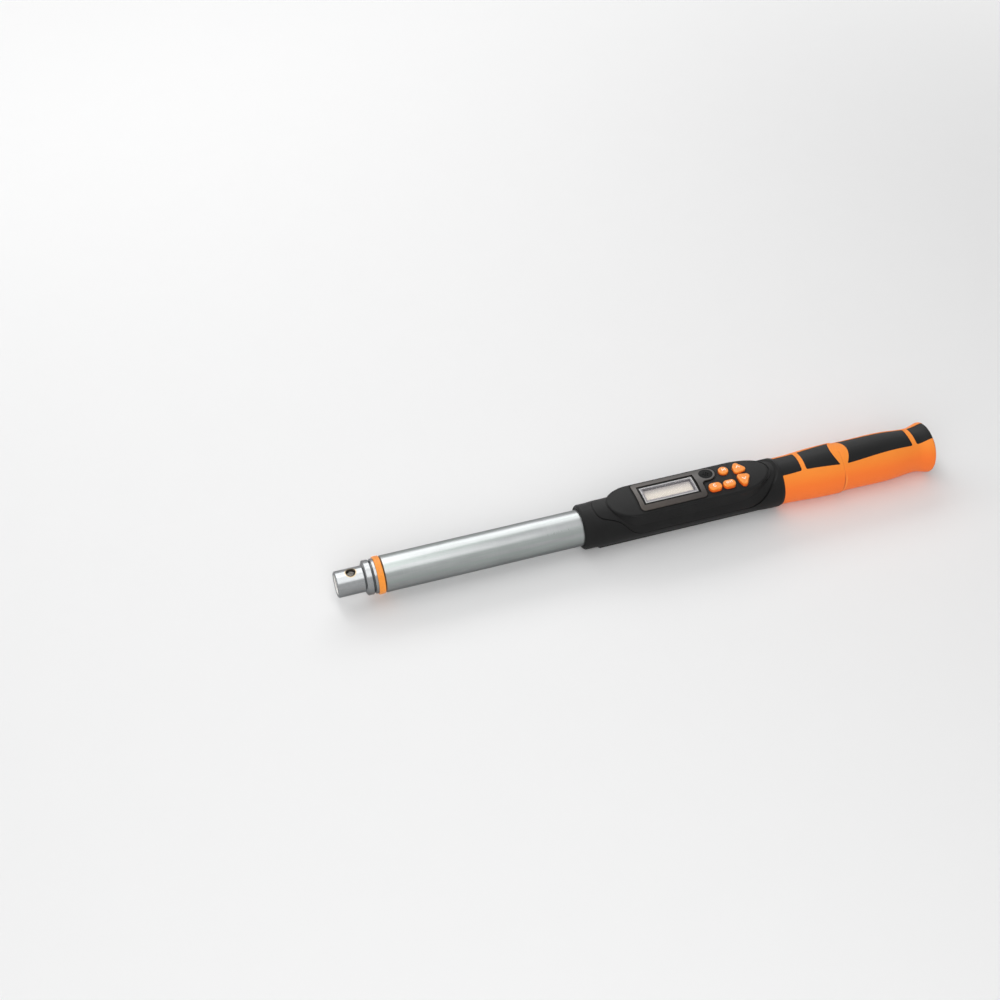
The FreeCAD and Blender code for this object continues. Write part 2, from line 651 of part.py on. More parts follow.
def keel():
    low = -REST_DROP
    high = -HOUSING_R * 0.7
    wide = KEEL_HALF_W + KEEL_FLARE
    x0 = X_HOUSING + KEEL_START
    x1 = X_HOUSING + KEEL_END
    corners = [Vector(x0, -wide, high), Vector(x0, -KEEL_HALF_W, low), Vector(x0, KEEL_HALF_W, low),
               Vector(x0, wide, high)]
    section = Part.makePolygon(corners + corners[:1])
    bar = Part.Face(section).extrude(Vector(x1 - x0, 0, 0))
    ends = edges_where(bar, lambda e: e.BoundBox.XLength < 0.01 and abs(e.CenterOfMass.z - low) < 0.01)
    bar = bar.makeChamfer(KEEL_NOSE, ends)
    sides = edges_where(bar, lambda e: e.BoundBox.XLength > 50 and abs(e.CenterOfMass.z - low) < 0.01)
    return bar.makeFillet(KEEL_ROUND, sides)


def lower_relief():
    """Hollow between the lower shell's wall and the tube, with ribs and screw bosses left standing."""
    x0 = X_HOUSING + SEAM_FRONT[1][0]
    x1 = X_GRIP - SEAM_REAR[-2][0] - RELIEF_INSET
    hollow = sleeve(x0, x1, RELIEF_R, TUBE_R)
    pitch = (x1 - x0) / (RIB_COUNT + 1)
    for i in range(RIB_COUNT):
        middle = x0 + (i + 1) * pitch
        hollow = hollow.cut(rod(middle - RIB_W / 2, middle + RIB_W / 2, RELIEF_R + 1))
    for x, y in screw_places():
        hollow = hollow.cut(post(x, y, -FAR, 0, KEEL_BOSS_R))
    return hollow


def housing_screws():
    """Four long cross-recessed screws from the underside into the cover's posts."""
    seat = -REST_DROP + SCREW_RECESS
    length, width, depth = SCREW_CROSS
    screws = []
    for x, y in screw_places():
        head = post(x, y, seat, seat + SCREW_HEAD_H, SCREW_HEAD_R)
        shank = post(x, y, seat, seat + SCREW_LEN, SCREW_R - FIT)
        along = block(x - length / 2, x + length / 2, y - width / 2, y + width / 2, seat - 1, seat + depth)
        across = block(x - width / 2, x + width / 2, y - length / 2, y + length / 2, seat - 1, seat + depth)
        cross = along.fuse(across)
        screws.append(head.fuse(shank).cut(cross))
    return Part.makeCompound(screws)


# ================================================================ display
def lobe_centre():
    return (X_HOUSING + BEZEL_START + BEZEL_LEN + LOBE_OFFSET, BEZEL_HALF_W - LOBE_R)


def bezel_prism(grow, z0):
    """Plate outline: rounded rectangle with one round lobe for the buzzer, joined by a hollow fillet."""
    z1 = BEZEL_TOP + 3
    x0 = X_HOUSING + BEZEL_START
    x1 = x0 + BEZEL_LEN
    cx, cy = lobe_centre()
    corner_r = BEZEL_CORNER + grow
    plate = prism(rectangle_outline(x0 - grow, x1 + grow, BEZEL_HALF_W + grow, corner_r), z0, z1)
    lobe = post(cx, cy, z0, z1, LOBE_R + grow)
    bridge = block(x1 - corner_r - 1, cx, cy - LOBE_R - grow, cy + LOBE_R + grow, z0, z1)
    solid = plate.fuse([lobe, bridge]).removeSplitter()
    corner = edges_where(solid, lambda e: e.BoundBox.ZLength > 2 and abs(e.CenterOfMass.x - x1 - grow) < 0.05
                         and abs(e.CenterOfMass.y - cy + LOBE_R + grow) < 0.05)
    return solid.makeFillet(LOBE_FILLET - 0.5 * grow, corner)


def bezel_gasket():
    """Soft strip in the channel round the bezel."""
    floor = POD_TOP - BEZEL_SINK
    strip = bezel_prism(BEZEL_MARGIN - GAP, CEILING - 1).cut(bezel_prism(GAP, CEILING - 2))
    strip = strip.common(crown(floor + GASKET_T, POD_CROWN_R))
    return single(strip.cut(crown(floor + FIT, POD_CROWN_R)))


def window_block(grow, z0, z1):
    x0 = X_HOUSING + WINDOW_START
    return block(x0 - grow, x0 + WINDOW_LEN + grow, -WINDOW_HALF_W - grow, WINDOW_HALF_W + grow, z0, z1)


def display_bezel():
    plate = bezel_prism(0.0, CEILING).common(crown(BEZEL_TOP, BEZEL_CROWN_R))
    plate = plate.cut(crown(POD_TOP - BEZEL_SINK + FIT, POD_CROWN_R))
    rim = edges_where(plate, lambda e: on_crown(e, BEZEL_TOP, BEZEL_CROWN_R))
    plate = plate.makeFillet(BEZEL_EDGE, rim)
    x0 = X_HOUSING + WINDOW_START
    opening = window_block(0.0, CEILING, BEZEL_TOP + 1)
    bevel_top = BEZEL_TOP + WINDOW_BEVEL_OVER
    bevel = Part.makeLoft([
        flat_rectangle(x0, WINDOW_LEN, WINDOW_HALF_W, 0.0, bevel_top - WINDOW_BEVEL_RISE),
        flat_rectangle(x0, WINDOW_LEN, WINDOW_HALF_W, WINDOW_BEVEL, bevel_top)], True, True)
    plate = plate.cut(opening.fuse(bevel))
    plate = plate.cut(post(*lobe_centre(), CEILING, BEZEL_TOP + 1, GRILLE_R + GAP))
    return single(plate)


def flat_rectangle(x0, length, half_w, grow, z):
    corners = [Vector(x0 - grow, -half_w - grow, z), Vector(x0 + length + grow, -half_w - grow, z),
               Vector(x0 + length + grow, half_w + grow, z), Vector(x0 - grow, half_w + grow, z)]
    return Part.makePolygon(corners + corners[:1])


def on_crown(edge, top, radius):
    """True when every sampled point of the edge lies on the crowned surface."""
    first, last = edge.ParameterRange
    for i in range(5):
        point = edge.valueAt(first + (last - first) * i / 4)
        if abs(math.hypot(point.y, point.z - (top - radius)) - radius) > 0.01:
            return False
    return True


def display_lens():
    """Clear plate held under the bezel, with a raised middle that fills the window."""
    top = POD_TOP - BEZEL_SINK - GAP
    plate = window_block(LENS_LAP, top - LENS_T, top).common(crown(POD_TOP - BEZEL_SINK, POD_CROWN_R))
    middle = window_block(-LENS_SLOT, top - LENS_T, BEZEL_TOP + 1)
    middle = middle.common(crown(BEZEL_TOP - LENS_SINK, BEZEL_CROWN_R))
    rim = edges_where(middle, lambda e: on_crown(e, BEZEL_TOP - LENS_SINK, BEZEL_CROWN_R))
    return single(plate.fuse(middle.makeChamfer(LENS_EDGE, rim)))


def lcd_panel():
    return window_block(LCD_LAP, CEILING - GAP - LCD_T, CEILING - GAP)


def lcd_frame():
    """Holder between the board and the glass, open in the middle and at the contact strips."""
    z1 = CEILING - GAP - LCD_T
    frame = window_block(LCD_LAP, BOARD_TOP, z1)
    frame = frame.cut(window_block(-LCD_FRAME_LEDGE, BOARD_TOP - 1, z1 + 1))
    for strip in strip_boxes(GAP):
        frame = frame.cut(strip)
    return single(frame)


def strip_boxes(grow):
    """Two strips along the long sides of the display."""
    x0 = X_HOUSING + WINDOW_START
    y0 = WINDOW_HALF_W + LCD_LAP - STRIP_INSET - STRIP_W
    z1 = CEILING - GAP - LCD_T
    return [block(x0 - grow, x0 + WINDOW_LEN + grow, min(side * y0, side * (y0 + STRIP_W)) - grow,
                  max(side * y0, side * (y0 + STRIP_W)) + grow, BOARD_TOP, z1) for side in (-1, 1)]


def buzzer_grille():
    cx, cy = lobe_centre()
    base = POD_TOP - BEZEL_SINK
    disc = post(cx, cy, base - GRILLE_T, base + GRILLE_PROUD, GRILLE_R)
    disc = disc.common(crown(base + GRILLE_T, POD_CROWN_R)).cut(crown(base + FIT, POD_CROWN_R))
    holes = [post(cx, cy, 0, FAR, GRILLE_HOLE_R)]
    for i in range(GRILLE_HOLES):
        angle = 2 * math.pi * i / GRILLE_HOLES
        x = cx + GRILLE_HOLE_RING_R * math.cos(angle)
        y = cy + GRILLE_HOLE_RING_R * math.sin(angle)
        holes.append(post(x, y, 0, FAR, GRILLE_HOLE_R))
    return single(disc.cut(holes))


def buzzer():
    cx, cy = lobe_centre()
    can = post(cx, cy, BOARD_TOP, BOARD_TOP + BUZZER_H, BUZZER_R)
    radius, depth = BUZZER_PORT
    return can.cut(post(cx, cy, BOARD_TOP + BUZZER_H - depth, BOARD_TOP + BUZZER_H + 1, radius))


# ================================================================ board and keys
def board_screw_places():
    return [(X_HOUSING + station, side * across) for station, across in BOARD_SCREWS for side in (-1, 1)]


def board_blank(z0, z1, start, end):
    """Slab that follows the inside of the pod between two stations."""
    slab = prism(pod_outline(WALL + BOARD_PLAY), z0, z1)
    return slab.common(block(X_HOUSING + start, X_HOUSING + end, -FAR, FAR, z0, z1))


def main_board():
    board = board_blank(BOARD_BOTTOM, BOARD_TOP, BOARD_START, BOARD_END)
    for x, y in board_screw_places():
        board = board.cut(post(x, y, 0, FAR, BOARD_SCREW_R + BOARD_SCREW_PLAY))
    return single(board)


def board_screws():
    screws = []
    for x, y in board_screw_places():
        low = BOARD_BOTTOM - BOARD_SCREW_HEAD_H
        head = post(x, y, low, BOARD_BOTTOM, BOARD_BOSS_R - GAP)
        screws.append(head.fuse(post(x, y, low, CEILING - BOARD_SCREW_TIP, BOARD_SCREW_R - FIT)))
    return Part.makeCompound(screws)


def board_parts():
    """Connectors at both ends of the underside, with the processor and the amplifier between them."""
    length, width, height = CONNECTOR
    z0 = BOARD_BOTTOM - height
    front = X_HOUSING + BOARD_START + CONNECTOR_INSET
    rear = X_HOUSING + BOARD_END - CONNECTOR_INSET
    items = [block(front, front + length, -width / 2, width / 2, z0, BOARD_BOTTOM),
             block(rear - length, rear, -width / 2, width / 2, z0, BOARD_BOTTOM)]
    for station, size, tall in CHIPS:
        x = X_HOUSING + station
        half = size / 2
        items.append(block(x - half, x + half, -half, half, BOARD_BOTTOM - tall, BOARD_BOTTOM))
    return Part.makeCompound(items)


def key_centre(name):
    (from_rear, across), radius, skeleton = KEYS[name]
    if not skeleton:
        return X_GRIP - from_rear, across
    middle = sum(x for x, y in skeleton) / len(skeleton)
    return X_GRIP - from_rear + middle, across + sum(y for x, y in skeleton) / len(skeleton)


def key_outline(name, grow):
    (from_rear, across), radius, skeleton = KEYS[name]
    centre = Vector(X_GRIP - from_rear, across, 0)
    if not skeleton:
        return Part.Wire(Part.makeCircle(radius + grow, centre))
    outline = rounded_outline(skeleton, radius + grow)
    outline.translate(centre)
    return outline


def key_cap(name):
    flange = prism(key_outline(name, KEY_FLANGE), KEY_FLANGE_TOP - KEY_FLANGE_T, KEY_FLANGE_TOP)
    stem = prism(key_outline(name, 0.0), KEY_FLANGE_TOP - KEY_FLANGE_T, KEY_TOP)
    rim = edges_where(stem, lambda e: e.BoundBox.ZMin > KEY_TOP - 0.01)
    return single(flange.fuse(stem.makeFillet(KEY_EDGE, rim)))


def key_mat():
    """Rubber mat over the switches, cut clear of the buzzer and the board's bosses."""
    mat = board_blank(MAT_BOTTOM, MAT_BOTTOM + MAT_T, BEZEL_END + MAT_CLEARANCE + 2 * GAP, BOARD_END)
    mat = mat.cut(post(*lobe_centre(), 0, FAR, BUZZER_R + MAT_CLEARANCE))
    for x, y in board_screw_places():
        mat = mat.cut(post(x, y, 0, FAR, BOARD_BOSS_R + MAT_CLEARANCE))
    return single(mat)


def tact_switches():
    half = SWITCH_SIZE / 2
    switches = []
    for name in KEYS:
        x, y = key_centre(name)
        switches.append(block(x - half, x + half, y - half, y + half, BOARD_TOP, MAT_BOTTOM))
    return Part.makeCompound(switches)


# ================================================================ grip
def skin_profile(sink):
    """Edges of the grip's outer line, front to butt, lowered by sink."""
    front = [Vector(X_GRIP + x, 0, r - sink) for x, r in SKIN_FRONT]
    step = Vector(front[-1].x + SKIN_STEP_RUN, 0, front[-1].z - SKIN_STEP)
    crest = Vector(X_BUTT - SKIN_CREST, 0, BUTT_R - sink)
    rear = [step] + [Vector(X_BUTT - x, 0, r - sink) for x, r in SKIN_REAR] + [crest]
    tip = Vector(X_BUTT, 0, BUTT_R - sink - BUTT_ROUND)
    middle = Vector(X_BUTT - 0.55, 0, BUTT_R - sink - 0.32 * BUTT_ROUND)
    return [spline_edge(front), line_edge(front[-1], rear[0]), spline_edge(rear),
            Part.Arc(crest, middle, tip).toShape()], front[0], tip


def grip_form(sink):
    """Solid bounded by the grip's outer line."""
    edges, first, last = skin_profile(sink)
    a = Vector(first.x, 0, 0)
    b = Vector(last.x, 0, 0)
    return lathe([line_edge(a, first)] + edges + [line_edge(last, b), line_edge(b, a)])


def inlay_prism(inlay, shrink):
    """Upright prism of one inlay panel; its two ends are shallow arcs."""
    start, end, w0, w1, bow0, bow1, corner0, corner1 = inlay
    x0 = X_GRIP + start + shrink
    x1 = X_GRIP + end - shrink
    w0 -= shrink
    w1 -= shrink
    a, b = Vector(x0, -w0, 0), Vector(x0, w0, 0)
    c, d = Vector(x1, w1, 0), Vector(x1, -w1, 0)
    left = Part.Arc(a, Vector(x0 - bow0, 0, 0), b).toShape() if bow0 else line_edge(a, b)
    right = Part.Arc(c, Vector(x1 - bow1, 0, 0), d).toShape() if bow1 else line_edge(c, d)
    solid = prism(Part.Wire([left, line_edge(b, c), right, line_edge(d, a)]), 0, FAR)
    middle = (x0 + x1) / 2
    for corner, first in ((corner0, True), (corner1, False)):
        upright = edges_where(solid, lambda e: e.BoundBox.ZLength > FAR / 2
                              and (e.CenterOfMass.x < middle) == first and abs(abs(e.CenterOfMass.y) -
                              (w0 if first else w1)) < 0.01)
        solid = solid.makeFillet(corner - shrink, upright)
    return solid


def grip_overmould():
    """Soft coloured skin over the core, with four windows along the top and flats underneath."""
    skin = grip_form(0.0).cut(rod(X_GRIP - 1, core_end() + GAP, CORE_R + GAP))
    skin = skin.cut(rod(X_GRIP, X_BUTT + 1, CAP_FLANGE_R + CAP_SKIN_PLAY))
    for inlay in INLAYS:
        skin = skin.cut(inlay_prism(inlay, 0.0))
    return single(rest_cut(skin))


def core_end():
    return X_BUTT - CORE_END_INSET


def tube_end():
    return X_BUTT - TUBE_END_INSET


def grip_core():
    """Hard black core on the tube; its pads fill the windows of the overmould."""
    core = rod(X_GRIP + GAP, core_end(), CORE_R)
    pads = [inlay_prism(inlay, GAP).common(grip_form(INLAY_SINK)) for inlay in INLAYS]
    pads = [pad.common(rod(X_GRIP + GAP, X_BUTT, FAR)) for pad in pads]
    core = core.fuse(pads)
    core = core.cut(rod(X_GRIP - 1, X_BUTT, TUBE_R + FIT))
    core = core.cut(rod(tube_end() + GAP, X_BUTT + 1, CAP_FLANGE_R + CAP_CORE_PLAY))
    return single(core)


# ================================================================ batteries and cap
def battery_rear():
    """Rear end of the second cell."""
    return tube_end() - CAP_PLUG_LEN - CELL_CAP_GAP


def battery_front():
    return battery_rear() - 2 * CELL_LEN


def cell(x0):
    """One AA cell with its positive cap towards the socket."""
    shoulder = x0 + CELL_NUB_LEN
    foot = x0 + CELL_LEN
    return lathe([(x0, 0), (x0, CELL_NUB_R), (shoulder, CELL_NUB_R), (shoulder, CELL_R - CELL_SHOULDER),
                  (shoulder + CELL_SHOULDER, CELL_R), (foot - CELL_FOOT, CELL_R), (foot, CELL_R - CELL_FOOT),
                  (foot, 0)])


def battery_sleeve():
    """Moulded tube that holds both cells in line, centred in the steel tube by rings."""
    inner = CELL_R + CELL_PLAY
    x0 = battery_front() - CONTACT_T - SLEEVE_FLOOR
    x1 = battery_rear()
    body = rod(x0, x1, inner + SLEEVE_WALL)
    pitch = (x1 - x0 - SLEEVE_RIB_W) / (SLEEVE_RIBS - 1)
    starts = [x0 + i * pitch for i in range(SLEEVE_RIBS)]
    rings = [rod(start, start + SLEEVE_RIB_W, TUBE_BORE_R - GAP) for start in starts]
    body = body.fuse(rings)
    body = body.cut(rod(battery_front() - CONTACT_T, x1 + 1, inner))
    return single(body.cut(rod(x0 - 1, x1, LEAD_R + LEAD_HOLE_PLAY)))


def front_contact():
    """Sprung plate that the first cell's positive cap presses on."""
    x1 = battery_front()
    plate = rod(x1 - CONTACT_T, x1, CELL_R - CONTACT_PLAY)
    return plate.cut(block(x1 - 2, x1 + 1, CELL_R - CONTACT_FLAT, FAR, -FAR, FAR))


def battery_cap():
    """Screwed cap: domed flange with a coin slot, and a hollow plug that carries the spring."""
    flange_0 = tube_end() + 2 * (SEAL_WIRE_R + SEAL_PLAY)
    flange_1 = X_BUTT + CAP_PROUD
    floor = tube_end() - CAP_PLUG_LEN
    plug_in = CAP_PLUG_R - CAP_PLUG_WALL
    dome = [(flange_1 - back, CAP_FLANGE_R - inward) for back, inward in CAP_DOME]
    cap = lathe([(floor, plug_in), (floor, CAP_PLUG_R - CAP_PLUG_EDGE), (floor + CAP_PLUG_EDGE, CAP_PLUG_R),
                 (flange_0, CAP_PLUG_R), (flange_0, CAP_FLANGE_R)] + dome +
                [(flange_1, 0), (spring_seat(), 0), (spring_seat(), plug_in)])
    slot = block(flange_1 - CAP_SLOT_DEPTH, flange_1 + 1, -CAP_SLOT_LEN / 2, CAP_SLOT_LEN / 2,
                 -CAP_SLOT_W / 2, CAP_SLOT_W / 2)
    return single(cap.cut(slot))


def spring_seat():
    return tube_end() + SPRING_SEAT


def cap_seal():
    ring = Part.makeTorus(CAP_PLUG_R + SEAL_INNER_PLAY + SEAL_WIRE_R, SEAL_WIRE_R, Vector(0, 0, 0), AXIS_X)
    ring.translate(Vector(tube_end() + SEAL_WIRE_R + SEAL_PLAY, 0, 0))
    return ring


def cap_spring():
    """Helical negative contact between the cap and the last cell."""
    length = spring_seat() - battery_rear() - 2 * SPRING_WIRE_R
    helix = Part.makeHelix(length / SPRING_TURNS, length, SPRING_R)
    route = helix.discretize(SPRING_TURNS * SPRING_RUNS + 1)
    circle = Part.makeCircle(SPRING_WIRE_R, route[0], route[1] - route[0])
    section = Part.makePolygon(circle.discretize(SPRING_SIDES + 1))
    wire = Part.makePolygon(route).makePipeShell([section], True, False, 1)
    wire.rotate(Vector(0, 0, 0), AXIS_Y, 90)
    wire.translate(Vector(battery_rear() + SPRING_WIRE_R, 0, 0))
    return wire


# ================================================================ export
def main():
    os.makedirs("parts", exist_ok=True)
    pieces = {
        "torque_beam": torque_beam, "beam_pins": beam_pins, "strain_gauges": strain_gauges,
        "gauge_lead": gauge_lead, "outer_tube": outer_tube, "marker_ring": marker_ring,
        "housing_body": housing_body, "housing_cover": housing_cover, "housing_screws": housing_screws,
        "display_bezel": display_bezel, "bezel_gasket": bezel_gasket,
        "display_lens": display_lens, "lcd_panel": lcd_panel, "lcd_frame": lcd_frame,
        "buzzer_grille": buzzer_grille, "buzzer": buzzer,
        "main_board": main_board, "board_parts": board_parts, "board_screws": board_screws,
        "tact_switches": tact_switches, "key_mat": key_mat,
        "grip_core": grip_core, "grip_overmould": grip_overmould,
        "battery_sleeve": battery_sleeve, "front_contact": front_contact, "battery_lead": battery_lead,
        "battery_cap": battery_cap, "cap_seal": cap_seal, "cap_spring": cap_spring,
    }
    for name, make in pieces.items():
        export(name, make())
    export("lcd_strips", Part.makeCompound(strip_boxes(0.0)))
    export("battery_front", cell(battery_front()))
    export("battery_rear", cell(battery_front() + CELL_LEN))
    for name in KEYS:
        export(name, key_cap(name))


main()
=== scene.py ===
import math

import bmesh
import bpy
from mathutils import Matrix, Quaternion, Vector
from mathutils.bvhtree import BVHTree


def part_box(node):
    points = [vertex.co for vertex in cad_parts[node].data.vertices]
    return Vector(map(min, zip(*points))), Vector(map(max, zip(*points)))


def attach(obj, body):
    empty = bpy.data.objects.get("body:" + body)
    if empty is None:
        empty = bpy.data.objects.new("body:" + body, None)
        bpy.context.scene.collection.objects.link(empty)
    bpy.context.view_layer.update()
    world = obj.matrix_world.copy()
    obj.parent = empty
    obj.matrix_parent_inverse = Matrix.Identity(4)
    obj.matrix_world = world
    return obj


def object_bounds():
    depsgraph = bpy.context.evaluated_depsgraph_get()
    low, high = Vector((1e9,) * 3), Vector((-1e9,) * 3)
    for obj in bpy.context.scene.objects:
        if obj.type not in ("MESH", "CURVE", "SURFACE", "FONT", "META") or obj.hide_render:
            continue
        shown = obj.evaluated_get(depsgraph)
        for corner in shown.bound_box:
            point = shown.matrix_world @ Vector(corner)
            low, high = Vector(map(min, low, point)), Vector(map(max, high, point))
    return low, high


bl_info = {
    "name": "Digital torque wrench",
    "version": (1, 0, 0),
    "blender": (4, 5, 0),
    "location": "3D View > Sidebar > Torque Wrench",
    "description": "Finishes, key legends, stage and camera for a digital torque wrench",
    "category": "Object",
}

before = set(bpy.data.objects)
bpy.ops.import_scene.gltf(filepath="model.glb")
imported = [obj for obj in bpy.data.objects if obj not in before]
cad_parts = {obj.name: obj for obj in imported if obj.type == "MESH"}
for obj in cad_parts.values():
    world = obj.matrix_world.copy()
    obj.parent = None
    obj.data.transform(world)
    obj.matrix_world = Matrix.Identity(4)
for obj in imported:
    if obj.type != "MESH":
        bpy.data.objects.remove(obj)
CAD_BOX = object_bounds()

MM = 0.001

# Where the finishes change on each piece, in metres.
TUBE_LOW, TUBE_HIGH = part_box("outer_tube")
AXIS_HEIGHT = (TUBE_LOW.z + TUBE_HIGH.z) / 2        # the tube's axis runs along X at this height
SOCKET_R = 7.5 * MM
LOCK_HOLE_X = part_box("torque_beam")[0].x + 12 * MM
LOCK_SINK_R = 3.7 * MM                              # countersink of the lock-pin hole
BEZEL_CROWN_R = 50 * MM                             # the bezel's face is crowned from side to side
BEZEL_EDGE = 0.5 * MM                               # rounding of that face's edge
WINDOW_LOW, WINDOW_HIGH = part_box("display_lens")
LINE_IN, PALE_IN, GREY_IN = 2.45 * MM, 3.05 * MM, 4.5 * MM      # how far in the window's bands reach: the line of painted shade, the band of painted highlight, the grey border
CREASE_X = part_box("grip_overmould")[0].x + 50.4 * MM            # moulded crease at the thumb band
GRIP_SIDE = AXIS_HEIGHT + 4 * MM                    # painted light makes the grip's orange paler from here
GRIP_TOP = AXIS_HEIGHT + 19 * MM                    # up to here
CELL_R = 7.15 * MM
FLOOR_PLAIN, FLOOR_GONE = 0.5, 1.5                  # how far off the floor starts and ends its fade

EDGE_SHINE = (0.5, 0.5, 0.51)       # holds the plated metals' shine down at low angles


# ================================================================ shader maths
class Signal:
    """One value in a shader. Python's operators on it add Math nodes."""

    def __init__(self, finish, socket):
        self.finish = finish
        self.socket = socket

    def math(self, operation, *values):
        return self.finish.node("ShaderNodeMath", {"operation": operation}, dict(enumerate(values)))

    def __add__(self, other):
        return self.math("ADD", self, other)

    def __radd__(self, other):
        return self.math("ADD", other, self)

    def __sub__(self, other):
        return self.math("SUBTRACT", self, other)

    def __rsub__(self, other):
        return self.math("SUBTRACT", other, self)

    def __mul__(self, other):
        return self.math("MULTIPLY", self, other)

    def __rmul__(self, other):
        return self.math("MULTIPLY", other, self)

    def __truediv__(self, other):
        return self.math("DIVIDE", self, other)

    def __rtruediv__(self, other):
        return self.math("DIVIDE", other, self)

    def __pow__(self, other):
        return self.math("POWER", self, other)

    def __abs__(self):
        return self.math("ABSOLUTE", self)

    def sine(self):
        return self.math("SINE", self)

    def larger(self, other):
        return self.math("MAXIMUM", self, other)

    def smaller(self, other):
        return self.math("MINIMUM", self, other)

    def eased(self, low, high):
        """0 below low, 1 above high, smooth between; low may be the greater one."""
        return self.finish.node("ShaderNodeMapRange", {"interpolation_type": "SMOOTHSTEP"}, {
            "Value": self, "From Min": low, "From Max": high})


def find_socket(sockets, key):
    """A socket by its place, its identifier or its name."""
    if isinstance(key, int):
        return sockets[key]
    for socket in sockets:
        if key in (socket.identifier, socket.name):
            return socket
    raise KeyError(f"no socket named {key}")


class Finish:
    """A material in the making: the surface shader's constants, and the nodes that vary them."""

    def __init__(self, name, constants):
        self.material = bpy.data.materials.new(name)
        self.material.use_nodes = True
        self.tree = self.material.node_tree
        self.surface = self.tree.nodes["Principled BSDF"]
        for socket, value in constants.items():
            self.feed(socket, value)

    def connect(self, socket, value):
        """Link a signal to a socket, or give the socket a plain value."""
        if isinstance(value, Signal):
            self.tree.links.new(value.socket, socket)
        elif hasattr(value, "__len__") and len(value) == 3 and socket.type == "RGBA":
            socket.default_value = (*value, 1.0)
        else:
            socket.default_value = value

    def feed(self, name, value):
        """Set or link one of the surface shader's sockets."""
        self.connect(find_socket(self.surface.inputs, name), value)

    def node(self, kind, settings=None, sockets=None, output=0):
        """Add a node of a kind, set it up, then fill its sockets, and give one of its outputs."""
        made = self.tree.nodes.new(kind)
        for name, value in (settings or {}).items():
            setattr(made, name, value)
        for key, value in (sockets or {}).items():
            self.connect(find_socket(made.inputs, key), value)
        return Signal(self, find_socket(made.outputs, output))

    def place(self):
        """Where the shaded point is, in metres from the wrench's origin."""
        return self.node("ShaderNodeTexCoord", output="Object")

    def axes(self):
        """The same as three separate values."""
        split = self.node("ShaderNodeSeparateXYZ", None, {0: self.place()}).socket.node
        return [Signal(self, output) for output in split.outputs]

    def stretched(self, scales):
        """The place, multiplied along each axis."""
        return self.node("ShaderNodeVectorMath", {"operation": "MULTIPLY"}, {0: self.place(), 1: scales})

    def noise(self, scales, detail=2.0, roughness=0.5):
        """Cloudy noise, about 0 to 1; scales are its cells a metre along each axis."""
        return self.node("ShaderNodeTexNoise", None, {
            "Vector": self.stretched(scales), "Scale": 1.0, "Detail": detail, "Roughness": roughness})

    def cells(self, scale):
        """Distance to the nearest of a field of random points."""
        return self.node("ShaderNodeTexVoronoi", None, {"Vector": self.place(), "Scale": scale})

    def mix(self, share, first, second):
        """Colour between two colours."""
        return self.node("ShaderNodeMix", {"data_type": "RGBA"}, {
            "Factor_Float": share, "A_Color": first, "B_Color": second}, "Result_Color")

    def bump(self, height, distance, strength=1.0):
        """Raise and lower the surface's shading by a height signal."""
        self.feed("Normal", self.node("ShaderNodeBump", None, {
            "Height": height, "Distance": distance, "Strength": strength}, "Normal"))

    def radius_from_axis(self):
        """Distance from the tube's axis."""
        x, y, z = self.axes()
        z = z - AXIS_HEIGHT
        return (y * y + z * z) ** 0.5


def uniform(scale):
    """The same scale along each axis."""
    return (scale, scale, scale)


def shade(colour, factor):
    """The same hue, lighter or darker."""
    return tuple(min(channel * factor, 1.0) for channel in colour)


def tinted(colour, factors):
    """A colour with each channel scaled on its own."""
    return tuple(min(channel * factor, 1.0) for channel, factor in zip(colour, factors))


# ================================================================ finishes
def turned_chrome(colour):
    """Polished chrome over turned steel: a bore made bright with painted light, and a gilt rim round the
    lock-pin hole, made dark with painted shade.
    """
    finish = Finish("turned_chrome", {"Metallic": 1.0, "Specular Tint": EDGE_SHINE})
    rings = finish.noise((5200, 60, 60), 3.0, 0.6)
    haze = finish.noise(uniform(260), 3.0)
    x, y, z = finish.axes()
    bore = finish.radius_from_axis().eased(SOCKET_R + 0.5 * MM, SOCKET_R + 0.2 * MM)
    from_hole = ((x - LOCK_HOLE_X) ** 2 + y * y) ** 0.5
    upper = z.eased(AXIS_HEIGHT, AXIS_HEIGHT + 8 * MM) * (1.0 - bore)
    # painted shade: the countersink and the hole in it are coloured near black
    sink = from_hole.eased(LOCK_SINK_R + 0.2 * MM, LOCK_SINK_R - 0.1 * MM) * upper
    rim = from_hole.eased(LOCK_SINK_R + 1.0 * MM, LOCK_SINK_R + 0.5 * MM) * upper
    turned = finish.mix(haze * 0.6 + rings * 0.3, shade(colour, 0.78), shade(colour, 1.1))
    gilt, sink_painted_shade, bore_painted_light = (0.34, 0.26, 0.15), (0.03, 0.027, 0.023), (0.93, 0.91, 0.88)
    dressed = finish.mix(sink, finish.mix(rim * 0.8, turned, gilt), sink_painted_shade)
    # painted light: the bore is coloured pale so it reads as lit, where it lies in shade
    finish.feed("Base Color", finish.mix(bore, dressed, bore_painted_light))
    finish.feed("Roughness", 0.15 + rings * 0.12 + haze * 0.06 + (bore + sink) * 0.25)
    finish.bump(rings, 0.01 * MM, 0.5)
    return finish


